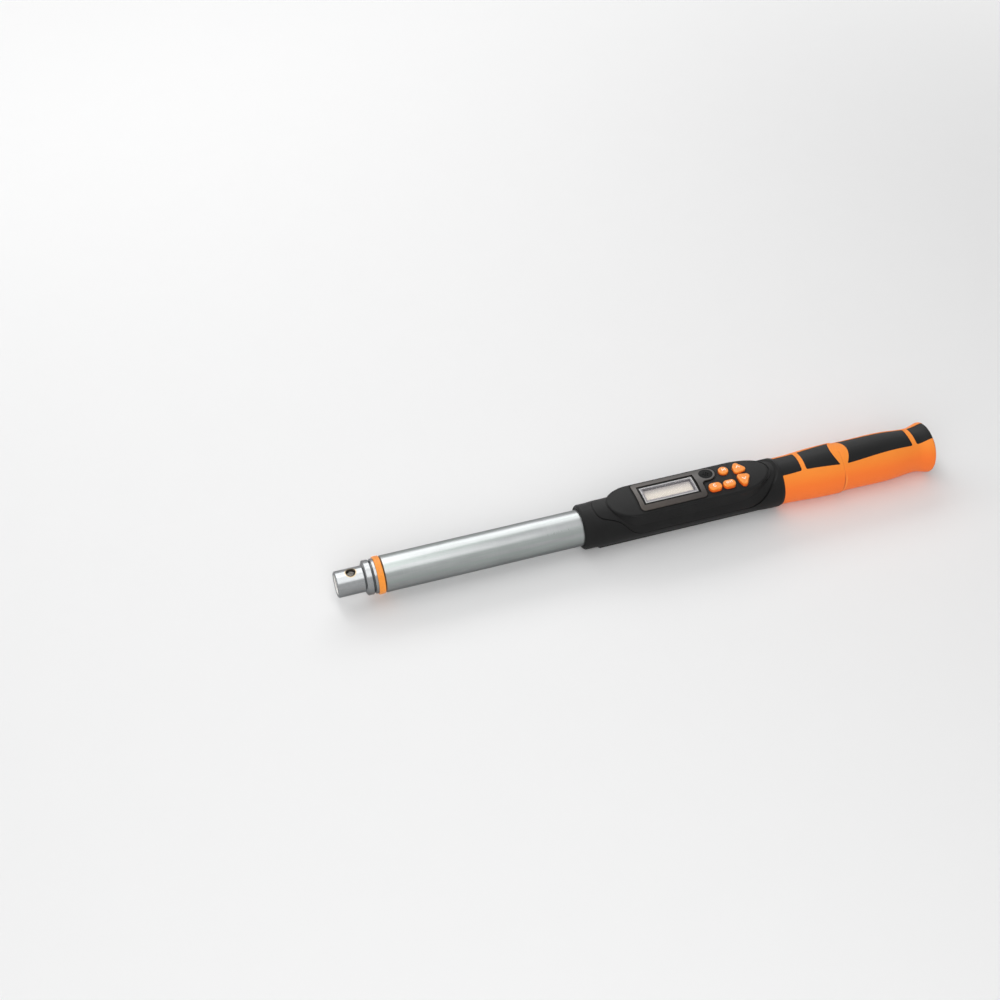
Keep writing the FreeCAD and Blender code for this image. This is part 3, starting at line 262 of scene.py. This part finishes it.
def satin_chrome(colour):
    """Satin-chromed tube: ground rings, faint greenish streaks, handling marks and a few tiny pits."""
    finish = Finish("satin_chrome", {"Metallic": 1.0, "Specular Tint": EDGE_SHINE})
    rings = finish.noise((3800, 45, 45), 4.0, 0.65)
    handling = finish.noise((30, 160, 160), 4.0, 0.55)
    streaks = finish.noise((5, 420, 420), 3.0, 0.5).eased(0.42, 0.68)
    pits = finish.cells(210.0).eased(0.035, 0.02)
    tone = (handling * 0.7 + rings * 0.3).eased(0.3, 0.75)
    plated = finish.mix(tone, shade(colour, 0.88), shade(colour, 1.08))
    passivated = finish.mix(streaks * 0.45, plated, tinted(colour, (0.80, 0.93, 0.84)))
    finish.feed("Base Color", finish.mix(pits * 0.6, passivated, shade(colour, 0.35)))
    finish.feed("Roughness", 0.22 + rings * 0.08 + handling * 0.08)
    finish.bump(rings * 0.5 - pits, 0.02 * MM, 0.35)
    return finish


def plain_steel(colour):
    """Machined steel for screws, pins and springs."""
    finish = Finish("plain_steel", {"Metallic": 1.0})
    grain = finish.noise(uniform(1800), 3.0)
    finish.feed("Base Color", finish.mix(grain, shade(colour, 0.7), colour))
    finish.feed("Roughness", 0.3 + grain * 0.2)
    finish.bump(grain, 0.01 * MM, 0.3)
    return finish


def gloss_orange(name, colour, roughness, foot=None, top=None):
    """Glossy moulded plastic with a faint flow mottling; painted shade makes it deeper in colour from top
    down to foot.
    """
    finish = Finish(name, {"Coat Roughness": 0.12, "Specular IOR Level": 0.2})
    flow = finish.noise(uniform(420), 3.0)
    orange_peel = finish.noise(uniform(1500), 2.0)
    mottled = finish.mix(flow.eased(0.25, 0.8), shade(colour, 0.92), shade(colour, 1.05))
    if foot is not None:
        # painted shade: darker, redder orange down the sides, where less light falls
        painted_flank_shade = finish.axes()[2].eased(top, foot)
        mottled = finish.mix(painted_flank_shade, mottled, tinted(colour, (1.0, 0.50, 0.45)))
    finish.feed("Base Color", mottled)
    finish.feed("Roughness", roughness + flow * 0.1)
    finish.feed("Coat Weight", 0.13)
    finish.bump(orange_peel, 0.02 * MM, 0.25)
    return finish


def spark_black(name, colour, grain, roughness, shine=0.17):
    """Black moulded plastic with a fine spark-eroded texture and soft, cloudy changes of tone."""
    finish = Finish(name, {"Specular IOR Level": shine})
    texture = finish.noise(uniform(grain), 4.0, 0.65)
    pores = finish.cells(grain * 0.9)
    clouds = finish.noise(uniform(60), 3.0)
    tone = clouds.eased(0.3, 0.75) * 0.6 + texture * 0.4
    finish.feed("Base Color", finish.mix(tone, shade(colour, 0.75), shade(colour, 1.35)))
    finish.feed("Roughness", roughness + texture * 0.12 + clouds * 0.06)
    finish.bump(texture * 0.7 + pores * 0.5, 0.06 * MM, 0.45)
    return finish


def bezel_grey(colour):
    """Satin bezel, faintly brown, with brushed lines along its crowned face, painted light that pales its
    front and darkens its rear, and sides painted black as shade.
    """
    finish = Finish("bezel_grey", {"Specular IOR Level": 0.3, "Coat Roughness": 0.2})
    low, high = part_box("display_bezel")
    x, y, z = finish.axes()
    crown = high.z - y * y / (2 * BEZEL_CROWN_R)
    side = (crown - z).eased(BEZEL_EDGE - 0.15 * MM, BEZEL_EDGE + 0.15 * MM)
    along = x.eased(low.x, high.x)
    lines = finish.noise((60, 6000, 6000), 3.0, 0.6)
    clouds = finish.noise(uniform(140), 2.0)
    # painted light and shade: paler towards the front, darker towards the rear
    pale = finish.mix(along, shade(colour, 1.6), shade(colour, 0.8))
    deep = finish.mix(along, shade(colour, 1.0), shade(colour, 0.5))
    face = finish.mix(clouds * 0.6 + lines * 0.4, deep, pale)
    # painted shade: the bezel's side walls are coloured near black
    finish.feed("Base Color", finish.mix(side, face, (0.003, 0.003, 0.003)))
    finish.feed("Roughness", 0.27 + lines * 0.12 + side * 0.35)
    finish.feed("Coat Weight", 0.15 * (1.0 - side))
    finish.bump(lines, 0.01 * MM, 0.3)
    return finish


def from_rim(finish):
    """Distances in from the four sides of the display's window piece: front, rear, near, far."""
    x, y, _ = finish.axes()
    return x - WINDOW_LOW.x, WINDOW_HIGH.x - x, y - WINDOW_LOW.y, WINDOW_HIGH.y - y


def clear_window():
    """Clear window with a black line of painted shade round it, a pale edge of painted highlight inside
    that and then a grey border.
    """
    finish = Finish("clear_window", {"Specular IOR Level": 0.22})
    front, rear, near, far = from_rim(finish)
    inward = front.smaller(rear).smaller(near).smaller(far - 0.3 * MM)
    # painted shade: an opaque black line stands for the shaded step at the window's rim
    printed = inward.eased(LINE_IN, LINE_IN - 0.15 * MM)
    # painted highlight: a pale band stands for light caught on the window's edge
    edge = inward.eased(PALE_IN, PALE_IN - 0.15 * MM) * (1.0 - printed)
    border = inward.eased(GREY_IN, GREY_IN - 0.8 * MM)
    smears = finish.noise((90, 200, 200), 3.0)
    grey, pale, black = (0.29, 0.275, 0.295), (0.54, 0.53, 0.52), (0.004, 0.004, 0.004)
    finish.feed("Base Color", finish.mix(printed, finish.mix(edge, grey, pale), black))
    finish.feed("Alpha", (0.07 + border * 0.8).larger(printed))
    finish.feed("Coat Weight", 0.25 * (1.0 - printed))
    finish.feed("Roughness", 0.05 + smears * 0.08 + printed * 0.5)
    finish.bump(smears, 0.01 * MM, 0.1)
    return finish


def display_glass(pale, border):
    """Switched-off display: a pale reflector inside a grey surround, darker towards its far side with
    painted shadow of the bezel's far wall.
    """
    finish = Finish("display_glass", {"Specular IOR Level": 0.3})
    front, rear, near, far = from_rim(finish)
    lit = (front.eased(3.6 * MM, 5.6 * MM) * rear.eased(2.9 * MM, 5.6 * MM)
           * near.eased(6.2 * MM, 7.6 * MM) * far.eased(-3.0 * MM, 0.5 * MM))
    grain = finish.noise(uniform(2500), 2.0)
    # painted shadow: greyer towards the far side, where the bezel's far wall shades the display
    far_shadowed = finish.mix(far.eased(0.0, 12 * MM), shade(border, 1.6), shade(pale, 1.04))
    finish.feed("Base Color", finish.mix(lit * (0.94 + grain * 0.12), border, far_shadowed))
    finish.feed("Roughness", 0.4 + grain * 0.15)
    return finish


def moulded(name, colour, roughness, grain):
    """Plain moulded or rubber part with a fine mottle, for gaskets, seals and the pieces inside."""
    finish = Finish(name, {"Specular IOR Level": 0.4})
    mottle = finish.noise(uniform(grain), 3.0)
    finish.feed("Base Color", finish.mix(mottle, shade(colour, 0.8), shade(colour, 1.15)))
    finish.feed("Roughness", roughness + mottle * 0.15)
    finish.bump(mottle, 0.02 * MM, 0.3)
    return finish


def circuit_green(colour):
    """Solder resist over copper tracks, which cross in patches."""
    finish = Finish("circuit_green", {"Specular IOR Level": 0.5})
    x, y, _ = finish.axes()
    crossings = (x * 1100.0).sine() * (y * 900.0).sine()
    patches = finish.noise(uniform(160), 1.0).eased(0.48, 0.52)
    tracks = crossings.eased(0.55, 0.75) * patches
    finish.feed("Base Color", finish.mix(tracks, colour, shade(colour, 2.2)))
    finish.feed("Roughness", 0.3 + tracks * 0.1)
    finish.bump(tracks, 0.03 * MM, 0.4)
    return finish


def soft_orange(colour):
    """Soft overmould: pebbled grain, a dry sheen, paler upwards as painted light, with a crease low on
    each side that has painted shade in it and a painted highlight on its lip.
    """
    finish = Finish("soft_orange", {
        "Specular IOR Level": 0.2, "Sheen Weight": 0.04, "Sheen Roughness": 0.4})
    pebble = finish.cells(3400.0)
    grain = finish.noise(uniform(2600), 3.0, 0.6)
    clouds = finish.noise(uniform(45), 3.0)
    tone = clouds.eased(0.3, 0.75) * 0.7 + grain * 0.3
    x, _, z = finish.axes()
    behind = x - CREASE_X
    low_down = z.eased(GRIP_SIDE + 7 * MM, GRIP_SIDE)
    # the crease is a real bump, and its colour is darkened too as painted shade
    crease = abs(behind).eased(0.9 * MM, 0.2 * MM) * low_down
    # painted highlight: a paler line on the crease's lit lip
    lip_highlight = abs(behind - 1.5 * MM).eased(0.8 * MM, 0.2 * MM) * low_down
    deeper, paler = tinted(colour, (1.0, 0.85, 0.85)), tinted(colour, (1.0, 1.25, 1.15))
    # painted light: paler orange towards the top, where more light falls
    painted_top_light = finish.mix(z.eased(GRIP_SIDE, GRIP_TOP), deeper, paler)
    skin = finish.mix(tone * 0.1, painted_top_light, shade(colour, 0.85))
    with_lip_highlight = finish.mix(lip_highlight * 0.6, skin, tinted(colour, (1.0, 1.7, 2.4)))
    finish.feed("Base Color", finish.mix(crease * 0.75, with_lip_highlight, tinted(colour, (0.5, 0.3, 0.3))))
    finish.feed("Roughness", 0.46 + grain * 0.12 + clouds * 0.05)
    finish.bump(pebble * 0.06 + grain * 0.04 - crease, 0.4 * MM, 0.5)
    return finish


def cell_jacket(colour):
    """Plain printed battery jacket. The ends of the can are bare steel."""
    finish = Finish("cell_jacket", {"Specular IOR Level": 0.5})
    side = finish.radius_from_axis().eased(CELL_R - 0.95 * MM, CELL_R - 0.55 * MM)
    scuffs = finish.noise((120, 900, 900), 3.0)
    jacket = finish.mix(scuffs, shade(colour, 0.85), shade(colour, 1.15))
    finish.feed("Base Color", finish.mix(side, (0.6, 0.6, 0.58), jacket))
    finish.feed("Metallic", 1.0 - side * 0.75)
    finish.feed("Roughness", 0.28 + scuffs * 0.15)
    return finish


def printed_white(colour):
    """Pale legend ink, a little uneven."""
    finish = Finish("printed_white", {"Specular IOR Level": 0.5})
    ink = finish.noise(uniform(2200), 2.0)
    finish.feed("Base Color", finish.mix(ink, shade(colour, 0.92), colour))
    finish.feed("Roughness", 0.35 + ink * 0.1)
    return finish


def pale_paper(colour, middle):
    """Paper floor that runs out into the plain white of the background, well clear of the wrench."""
    finish = Finish("pale_paper", {"Roughness": 0.9, "Specular IOR Level": 0.1})
    mottle = finish.noise(uniform(25), 2.0)
    finish.feed("Base Color", finish.mix(mottle, shade(colour, 0.99), colour))
    x, y, _ = finish.axes()
    away = ((x - middle.x) ** 2 + (y - middle.y) ** 2) ** 0.5
    camera, glossy, clear = [finish.node("ShaderNodeLightPath", output=f"Is {kind} Ray")
                             for kind in ("Camera", "Glossy", "Transmission")]
    fade = away.eased(FLOOR_PLAIN, FLOOR_GONE) * camera.larger(glossy).larger(clear)
    white = finish.node("ShaderNodeEmission", None, {"Color": (1.0, 1.0, 1.0), "Strength": 1.0})
    paper = Signal(finish, finish.surface.outputs[0])
    finished = finish.node("ShaderNodeMixShader", None, {0: fade, 1: paper, 2: white})
    finish.connect(finish.tree.nodes["Material Output"].inputs["Surface"], finished)
    return finish


def dress(finish, *nodes):
    """Give a finish to carried-over CAD nodes."""
    for name in nodes:
        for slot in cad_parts[name].material_slots:
            slot.material = finish.material


# ================================================================ key legends
ARC = [(0.5 + 0.5 * math.cos(math.radians(turn)), 0.5 + 0.5 * math.sin(math.radians(turn)))
       for turn in range(45, 316, 30)]
GLYPHS = {      # lines of points in a cell one wide and one high
    "M": [[(0.0, 0.0), (0.0, 1.0), (0.5, 0.35), (1.0, 1.0), (1.0, 0.0)]],
    "C": [ARC],
    "U": [[(0.0, 1.0), (0.0, 0.25), (0.3, 0.0), (0.7, 0.0), (1.0, 0.25), (1.0, 1.0)]],
    "N": [[(0.0, 0.0), (0.0, 1.0), (1.0, 0.0), (1.0, 1.0)]],
    "I": [[(0.5, 0.0), (0.5, 1.0)]],
    "T": [[(0.0, 1.0), (1.0, 1.0)], [(0.5, 0.0), (0.5, 0.88)]],
    "^": [[(0.0, 0.0), (0.5, 1.0), (1.0, 0.0)]],
    "v": [[(0.0, 1.0), (0.5, 0.0), (1.0, 1.0)]],
}
LETTER_GAP = 0.62           # from one letter of a word to the next, in letter widths
SHARPEST = 1.6              # how far a mitre may reach, in half strokes
LEGEND_STEP = 0.4 * MM      # strokes are cut into pieces about this long


def strip(line, stroke):
    """Corner pairs of a mitred strip along a line of points."""
    pairs = []
    for place, point in enumerate(line):
        arriving = (point - line[max(place - 1, 0)]).normalized()
        leaving = (line[min(place + 1, len(line) - 1)] - point).normalized()
        along = (arriving + leaving).normalized()
        across = Vector((-along.y, along.x))
        lean = max(arriving.dot(along), leaving.dot(along))
        reach = across * stroke / 2 * min(1 / lean, SHARPEST)
        pairs.append((point + reach, point - reach))
    return pairs


def legend_mesh(text, width, height, stroke):
    """Flat letters of even strokes about their own middle, in short pieces that follow a domed key."""
    widths = [0.0 if letter == "I" else 1.0 for letter in text]
    letter = (width - stroke) / (sum(widths) + LETTER_GAP * (len(text) - 1))
    tall = height - stroke
    left = -(width - stroke) / 2
    points, faces = [], []
    for glyph, share in zip(text, widths):
        for line in GLYPHS[glyph]:
            placed = [Vector((left + x * share * letter, (y - 0.5) * tall)) for x, y in line]
            pairs = strip(placed, stroke)
            for first, second in zip(pairs, pairs[1:]):
                parts = max(round((second[0] - first[0]).length / LEGEND_STEP), 1)
                for part in range(parts + 1):
                    points += [start.lerp(end, part / parts).to_3d() for start, end in zip(first, second)]
                    if part:
                        last = len(points)
                        faces.append((last - 4, last - 3, last - 1, last - 2))
        left += (share + LETTER_GAP) * letter
    mesh = bpy.data.meshes.new("legend")
    mesh.from_pydata(points, [], faces)
    return mesh


def lay_on_key(name, flat, node, offset):
    """Drop a flat mesh on a key's top, with a little of its thickness below the key's skin."""
    rise = bpy.context.scene.wrench_sizes.legend_rise
    low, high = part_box(node)
    surface = BVHTree.FromObject(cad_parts[node], bpy.context.evaluated_depsgraph_get())
    shaped = bmesh.new()
    shaped.from_mesh(flat)
    bpy.data.meshes.remove(flat)
    bmesh.ops.remove_doubles(shaped, verts=shaped.verts[:], dist=0.001 * MM)
    bmesh.ops.triangulate(shaped, faces=shaped.faces[:])
    middle = Vector(((low.x + high.x) / 2 + offset[0], (low.y + high.y) / 2 + offset[1], 0))
    above = Vector((0, 0, high.z + 5 * MM))
    for vertex in shaped.verts:
        hit, _, _, _ = surface.ray_cast(middle + vertex.co + above, Vector((0, 0, -1)))
        if hit is None:
            raise RuntimeError(f"{name} reaches past {node}")
        vertex.co = hit + Vector((0, 0, rise))
    underside = bmesh.ops.extrude_face_region(shaped, geom=shaped.faces[:])
    for part in underside["geom"]:
        if isinstance(part, bmesh.types.BMVert):
            part.co.z -= 3 * rise
    bmesh.ops.recalc_face_normals(shaped, faces=shaped.faces[:])
    mesh = bpy.data.meshes.new(name)
    shaped.to_mesh(mesh)
    shaped.free()
    piece = bpy.data.objects.new(name, mesh)
    bpy.context.scene.collection.objects.link(piece)
    return piece


# ================================================================ sizes and colours
def length(name, description, default):
    return bpy.props.FloatProperty(
        name=name, description=description, default=default, unit="LENGTH", min=0)


def watts(name, description, default):
    return bpy.props.FloatProperty(
        name=name, description=description, default=default, unit="POWER", min=0)


def colour(name, description, default):
    return bpy.props.FloatVectorProperty(
        name=name, description=description, default=default, subtype="COLOR", min=0, max=1)


def position(name, description, default):
    return bpy.props.FloatVectorProperty(
        name=name, description=description, default=default, subtype="TRANSLATION")


class WrenchSizes(bpy.types.PropertyGroup):
    """Sizes of the printed marks."""

    letter_width: length("Letter width", "Width of the letter on each round key", 3.1 * MM)
    letter_height: length("Letter height", "Height of that letter", 3.3 * MM)
    word_width: length("Word width", "Width of the word on the unit key", 5.4 * MM)
    word_height: length("Word height", "Height of that word", 2.5 * MM)
    arrow_width: length("Arrow width", "Width of the arrow on each arrow key", 3.9 * MM)
    arrow_height: length("Arrow height", "Height of that arrow", 2.7 * MM)
    stroke: length("Stroke", "Thickness of the strokes of letters and arrows", 0.75 * MM)
    word_stroke: length("Word stroke", "Thickness of the word's strokes", 0.42 * MM)
    legend_rise: length("Legend rise", "How far the ink stands above a key", 0.03 * MM)


class WrenchColours(bpy.types.PropertyGroup):
    """Base colours of the finishes."""

    chrome: colour("Chrome", "Neck and collar", (0.32, 0.33, 0.335))
    tube: colour("Tube", "Satin tube", (0.34, 0.35, 0.353))
    ring: colour("Ring", "Marker ring", (1.0, 0.33, 0.045))
    keys: colour("Keys", "Keys", (1.0, 0.305, 0.038))
    legend: colour("Legend", "Ink on the keys", (1.0, 0.86, 0.68))
    shell: colour("Housing", "Housing shells", (0.0075, 0.0075, 0.0075))
    bezel: colour("Bezel", "Display bezel", (0.044, 0.036, 0.031))
    display: colour("Display", "Middle of the switched-off display", (0.98, 0.88, 0.77))
    display_rim: colour("Display rim", "Edge of the display", (0.44, 0.42, 0.43))
    overmould: colour("Overmould", "Soft grip skin", (1.0, 0.245, 0.037))
    core: colour("Grip core", "Hard inlays and battery cap", (0.0055, 0.0055, 0.0057))


class WrenchStage(bpy.types.PropertyGroup):
    """Floor, lamps and camera."""

    floor_size: length("Floor size", "Width of the floor", 9.0)
    floor_tone: colour("Floor", "Colour of the floor", (0.90, 0.90, 0.90))
    back_power: watts("Back lamp", "Power of the long lamp behind", 9.2)
    top_power: watts("Top lamp", "Power of the long lamp overhead", 7.4)
    card_power: watts("Card", "Power of the bright card between those two, which only gloss shows", 7.6)
    fill_power: watts("Fill lamp", "Power of the lamp on the near side, which gloss doesn't show", 19.0)
    ambient: bpy.props.FloatProperty(
        name="Ambient", description="Strength of the even light from all round", default=0.25, min=0)
    camera_lens: bpy.props.FloatProperty(
        name="Lens", description="Focal length in millimetres", default=57.6, min=10)
    camera_place: position("Camera", "Where the camera stands", (-0.36383, -0.77917, 0.89856))
    camera_target: position("Target", "The point at the middle of the view", (-0.10095, 0.04645, 0.0192))
    camera_roll: bpy.props.FloatProperty(
        name="Roll", description="Turn of the camera about its line of sight",
        default=math.radians(-0.11), subtype="ANGLE")


# ================================================================ operators
class WRENCH_OT_metal(bpy.types.Operator):
    """Finish the neck, the collar, the tube and the steel fasteners"""

    bl_idname = "torque_wrench.metal"
    bl_label = "Metal parts"

    def execute(self, context):
        colours = context.scene.wrench_colours
        dress(turned_chrome(colours.chrome), "torque_beam")
        dress(satin_chrome(colours.tube), "outer_tube")
        dress(plain_steel((0.5, 0.5, 0.51)), "beam_pins", "housing_screws", "board_screws")
        return {"FINISHED"}


class WRENCH_OT_ring(bpy.types.Operator):
    """Finish the coloured marker ring"""

    bl_idname = "torque_wrench.ring"
    bl_label = "Marker ring"

    def execute(self, context):
        dress(gloss_orange("ring_orange", context.scene.wrench_colours.ring, 0.32), "marker_ring")
        return {"FINISHED"}


class WRENCH_OT_housing(bpy.types.Operator):
    """Finish the two housing shells and the sounder's grille"""

    bl_idname = "torque_wrench.housing"
    bl_label = "Housing"

    def execute(self, context):
        shell = context.scene.wrench_colours.shell
        dress(spark_black("housing_black", shell, 3000, 0.46), "housing_body", "housing_cover")
        dress(spark_black("grille_black", shade(shell, 0.6), 4200, 0.4, 0.08), "buzzer_grille")
        return {"FINISHED"}


class WRENCH_OT_display(bpy.types.Operator):
    """Finish the bezel, the window and the display behind it"""

    bl_idname = "torque_wrench.display"
    bl_label = "Display"

    def execute(self, context):
        colours = context.scene.wrench_colours
        dress(bezel_grey(colours.bezel), "display_bezel")
        # painted shade: the gasket is near black so the channel round the bezel reads as shade
        dress(moulded("gasket_black", (0.004, 0.004, 0.004), 0.8, 1800), "bezel_gasket")
        dress(clear_window(), "display_lens")
        dress(display_glass(colours.display, colours.display_rim), "lcd_panel")
        dress(moulded("holder_white", (0.7, 0.7, 0.68), 0.45, 900), "lcd_frame")
        dress(moulded("contact_rubber", (0.12, 0.10, 0.11), 0.6, 1600), "lcd_strips")
        return {"FINISHED"}


class WRENCH_OT_keys(bpy.types.Operator):
    """Finish the five keys and print their legends"""

    bl_idname = "torque_wrench.keys"
    bl_label = "Keys"

    def execute(self, context):
        colours = context.scene.wrench_colours
        sizes = context.scene.wrench_sizes
        letter = (sizes.letter_width, sizes.letter_height, sizes.stroke)
        word = (sizes.word_width, sizes.word_height, sizes.word_stroke)
        arrow = (sizes.arrow_width, sizes.arrow_height, sizes.stroke)
        legends = {      # what it says, its size, and its place from the key's middle
            "key_mode": ("M", letter, (0.45 * MM, 0.45 * MM)),
            "key_clear": ("C", letter, (-0.3 * MM, 0.55 * MM)),
            "key_unit": ("UNIT", word, (0.4 * MM, 0.8 * MM)),
            "key_up": ("^", arrow, (-0.4 * MM, 0.6 * MM)),
            "key_down": ("v", arrow, (-0.3 * MM, 0.05 * MM)),
        }
        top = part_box("key_up")[1].z
        # painted shade deepens the keys' orange from 0.2 mm under their tops down to 1.7 mm under them
        orange = gloss_orange("key_orange", colours.keys, 0.24, top - 1.7 * MM, top - 0.2 * MM)
        dress(orange, *legends)
        ink = printed_white(colours.legend)
        for node, (text, size, offset) in legends.items():
            piece = lay_on_key(node.replace("key", "legend"), legend_mesh(text, *size), node, offset)
            piece.data.materials.append(ink.material)
            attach(piece, node + "_body")
        return {"FINISHED"}


class WRENCH_OT_grip(bpy.types.Operator):
    """Finish the soft skin and the hard core of the grip"""

    bl_idname = "torque_wrench.grip"
    bl_label = "Grip"

    def execute(self, context):
        colours = context.scene.wrench_colours
        dress(soft_orange(colours.overmould), "grip_overmould")
        dress(spark_black("core_black", colours.core, 3600, 0.4), "grip_core")
        return {"FINISHED"}


class WRENCH_OT_power(bpy.types.Operator):
    """Finish the batteries, their sleeve and contacts, and the cap"""

    bl_idname = "torque_wrench.power"
    bl_label = "Batteries and cap"

    def execute(self, context):
        colours = context.scene.wrench_colours
        dress(spark_black("cap_black", colours.core, 3200, 0.42), "battery_cap")
        dress(moulded("seal_rubber", (0.03, 0.03, 0.03), 0.6, 1500), "cap_seal")
        dress(moulded("sleeve_black", (0.03, 0.03, 0.032), 0.5, 1200), "battery_sleeve")
        dress(cell_jacket((0.10, 0.11, 0.12)), "battery_front", "battery_rear")
        dress(plain_steel((0.66, 0.64, 0.58)), "front_contact", "cap_spring")
        return {"FINISHED"}


class WRENCH_OT_electronics(bpy.types.Operator):
    """Finish the board, the switches, the mat, the leads and the gauges"""

    bl_idname = "torque_wrench.electronics"
    bl_label = "Electronics"

    def execute(self, context):
        dress(circuit_green((0.02, 0.13, 0.05)), "main_board")
        dress(moulded("chip_black", (0.03, 0.03, 0.03), 0.4, 2400), "board_parts", "buzzer")
        dress(plain_steel((0.6, 0.6, 0.6)), "tact_switches")
        dress(moulded("mat_grey", (0.14, 0.14, 0.145), 0.65, 1500), "key_mat")
        dress(moulded("lead_red", (0.38, 0.03, 0.02), 0.45, 1400), "gauge_lead", "battery_lead")
        dress(moulded("gauge_amber", (0.55, 0.26, 0.06), 0.35, 2600), "strain_gauges")
        return {"FINISHED"}


def aimed(obj, place, target, roll=0.0):
    """Stand a lamp or camera at a place, looking at a target."""
    place = Vector(place)
    look = (Vector(target) - place).to_track_quat("-Z", "Y")
    obj.location = place
    obj.rotation_mode = "QUATERNION"
    obj.rotation_quaternion = look @ Quaternion((0, 0, 1), roll)
    bpy.context.scene.collection.objects.link(obj)
    return obj


def soft_lamp(name, power, size, place, target):
    """Hang a rectangular lamp at a place, turned to its target."""
    lamp = bpy.data.lights.new(name, "AREA")
    lamp.shape = "RECTANGLE"
    lamp.size, lamp.size_y = size
    lamp.energy = power
    return aimed(bpy.data.objects.new(name, lamp), place, target)


def studio_world(ambient):
    """Even light for surfaces; plain white for what the camera, gloss and glass see."""
    world = bpy.data.worlds.new("studio")
    bpy.context.scene.world = world
    world.use_nodes = True
    tree = world.node_tree
    tree.nodes.clear()
    rays = tree.nodes.new("ShaderNodeLightPath")
    seen = rays.outputs["Is Camera Ray"]
    for name in ("Is Glossy Ray", "Is Transmission Ray"):
        either = tree.nodes.new("ShaderNodeMath")
        either.operation = "MAXIMUM"
        tree.links.new(seen, either.inputs[0])
        tree.links.new(rays.outputs[name], either.inputs[1])
        seen = either.outputs[0]
    mixer = tree.nodes.new("ShaderNodeMixShader")
    output = tree.nodes.new("ShaderNodeOutputWorld")
    tree.links.new(seen, mixer.inputs[0])
    for place, strength in ((1, ambient), (2, 1.0)):
        light = tree.nodes.new("ShaderNodeBackground")
        light.inputs["Strength"].default_value = strength
        light.inputs["Color"].default_value = (1, 1, 1, 1)
        tree.links.new(light.outputs[0], mixer.inputs[place])
    tree.links.new(mixer.outputs[0], output.inputs[0])


LAMPS = {      # which power, width and depth, and place from the wrench's middle
    "back_lamp": ("back_power", (2.2, 0.5), (-0.20, 1.12, 0.84)),
    "top_lamp": ("top_power", (2.2, 0.5), (-0.20, -0.04, 1.31)),
    "card": ("card_power", (2.2, 0.6), (-0.20, 0.60, 1.19)),
    "fill_lamp": ("fill_power", (1.8, 1.2), (-0.7, -1.5, 1.1)),
}


class WRENCH_OT_stage(bpy.types.Operator):
    """Lay the floor, hang the lamps and stand the camera"""

    bl_idname = "torque_wrench.stage"
    bl_label = "Stage"

    def execute(self, context):
        stage = context.scene.wrench_stage
        half = stage.floor_size / 2
        level = CAD_BOX[0].z
        mesh = bpy.data.meshes.new("floor")
        corners = [(-half, -half, level), (half, -half, level), (half, half, level), (-half, half, level)]
        mesh.from_pydata(corners, [], [(0, 1, 2, 3)])
        floor = bpy.data.objects.new("floor", mesh)
        context.scene.collection.objects.link(floor)
        middle = (CAD_BOX[0] + CAD_BOX[1]) / 2
        mesh.materials.append(pale_paper(stage.floor_tone, middle).material)
        studio_world(stage.ambient)
        lamps = {name: soft_lamp(name, getattr(stage, power), size, middle + Vector(offset), middle)
                 for name, (power, size, offset) in LAMPS.items()}
        lamps["card"].visible_diffuse = False
        lamps["fill_lamp"].visible_glossy = False
        view = bpy.data.cameras.new("camera")
        view.sensor_width = 36.0
        view.lens = stage.camera_lens
        view.clip_start = 0.01
        camera = aimed(bpy.data.objects.new("camera", view), stage.camera_place,
                       stage.camera_target, stage.camera_roll)
        context.scene.camera = camera
        context.scene.view_settings.view_transform = "Standard"
        return {"FINISHED"}


STEPS = (WRENCH_OT_stage, WRENCH_OT_metal, WRENCH_OT_ring, WRENCH_OT_housing, WRENCH_OT_display,
         WRENCH_OT_keys, WRENCH_OT_grip, WRENCH_OT_power, WRENCH_OT_electronics)


class WRENCH_PT_steps(bpy.types.Panel):
    """Lists the steps that dress the wrench"""

    bl_idname = "WRENCH_PT_steps"
    bl_label = "Torque wrench"
    bl_space_type = "VIEW_3D"
    bl_region_type = "UI"
    bl_category = "Torque Wrench"

    def draw(self, context):
        for step in STEPS:
            self.layout.operator(step.bl_idname)


GROUPS = {"wrench_sizes": WrenchSizes, "wrench_colours": WrenchColours, "wrench_stage": WrenchStage}
CLASSES = (*GROUPS.values(), *STEPS, WRENCH_PT_steps)


def register():
    for item in CLASSES:
        bpy.utils.register_class(item)
    for name, group in GROUPS.items():
        setattr(bpy.types.Scene, name, bpy.props.PointerProperty(type=group))


def unregister():
    for name in GROUPS:
        delattr(bpy.types.Scene, name)
    for item in reversed(CLASSES):
        bpy.utils.unregister_class(item)


def main():
    register()
    bpy.ops.torque_wrench.stage()
    bpy.ops.torque_wrench.metal()
    bpy.ops.torque_wrench.ring()
    bpy.ops.torque_wrench.housing()
    bpy.ops.torque_wrench.display()
    bpy.ops.torque_wrench.keys()
    bpy.ops.torque_wrench.grip()
    bpy.ops.torque_wrench.power()
    bpy.ops.torque_wrench.electronics()


if __name__ == "__main__":
    main()
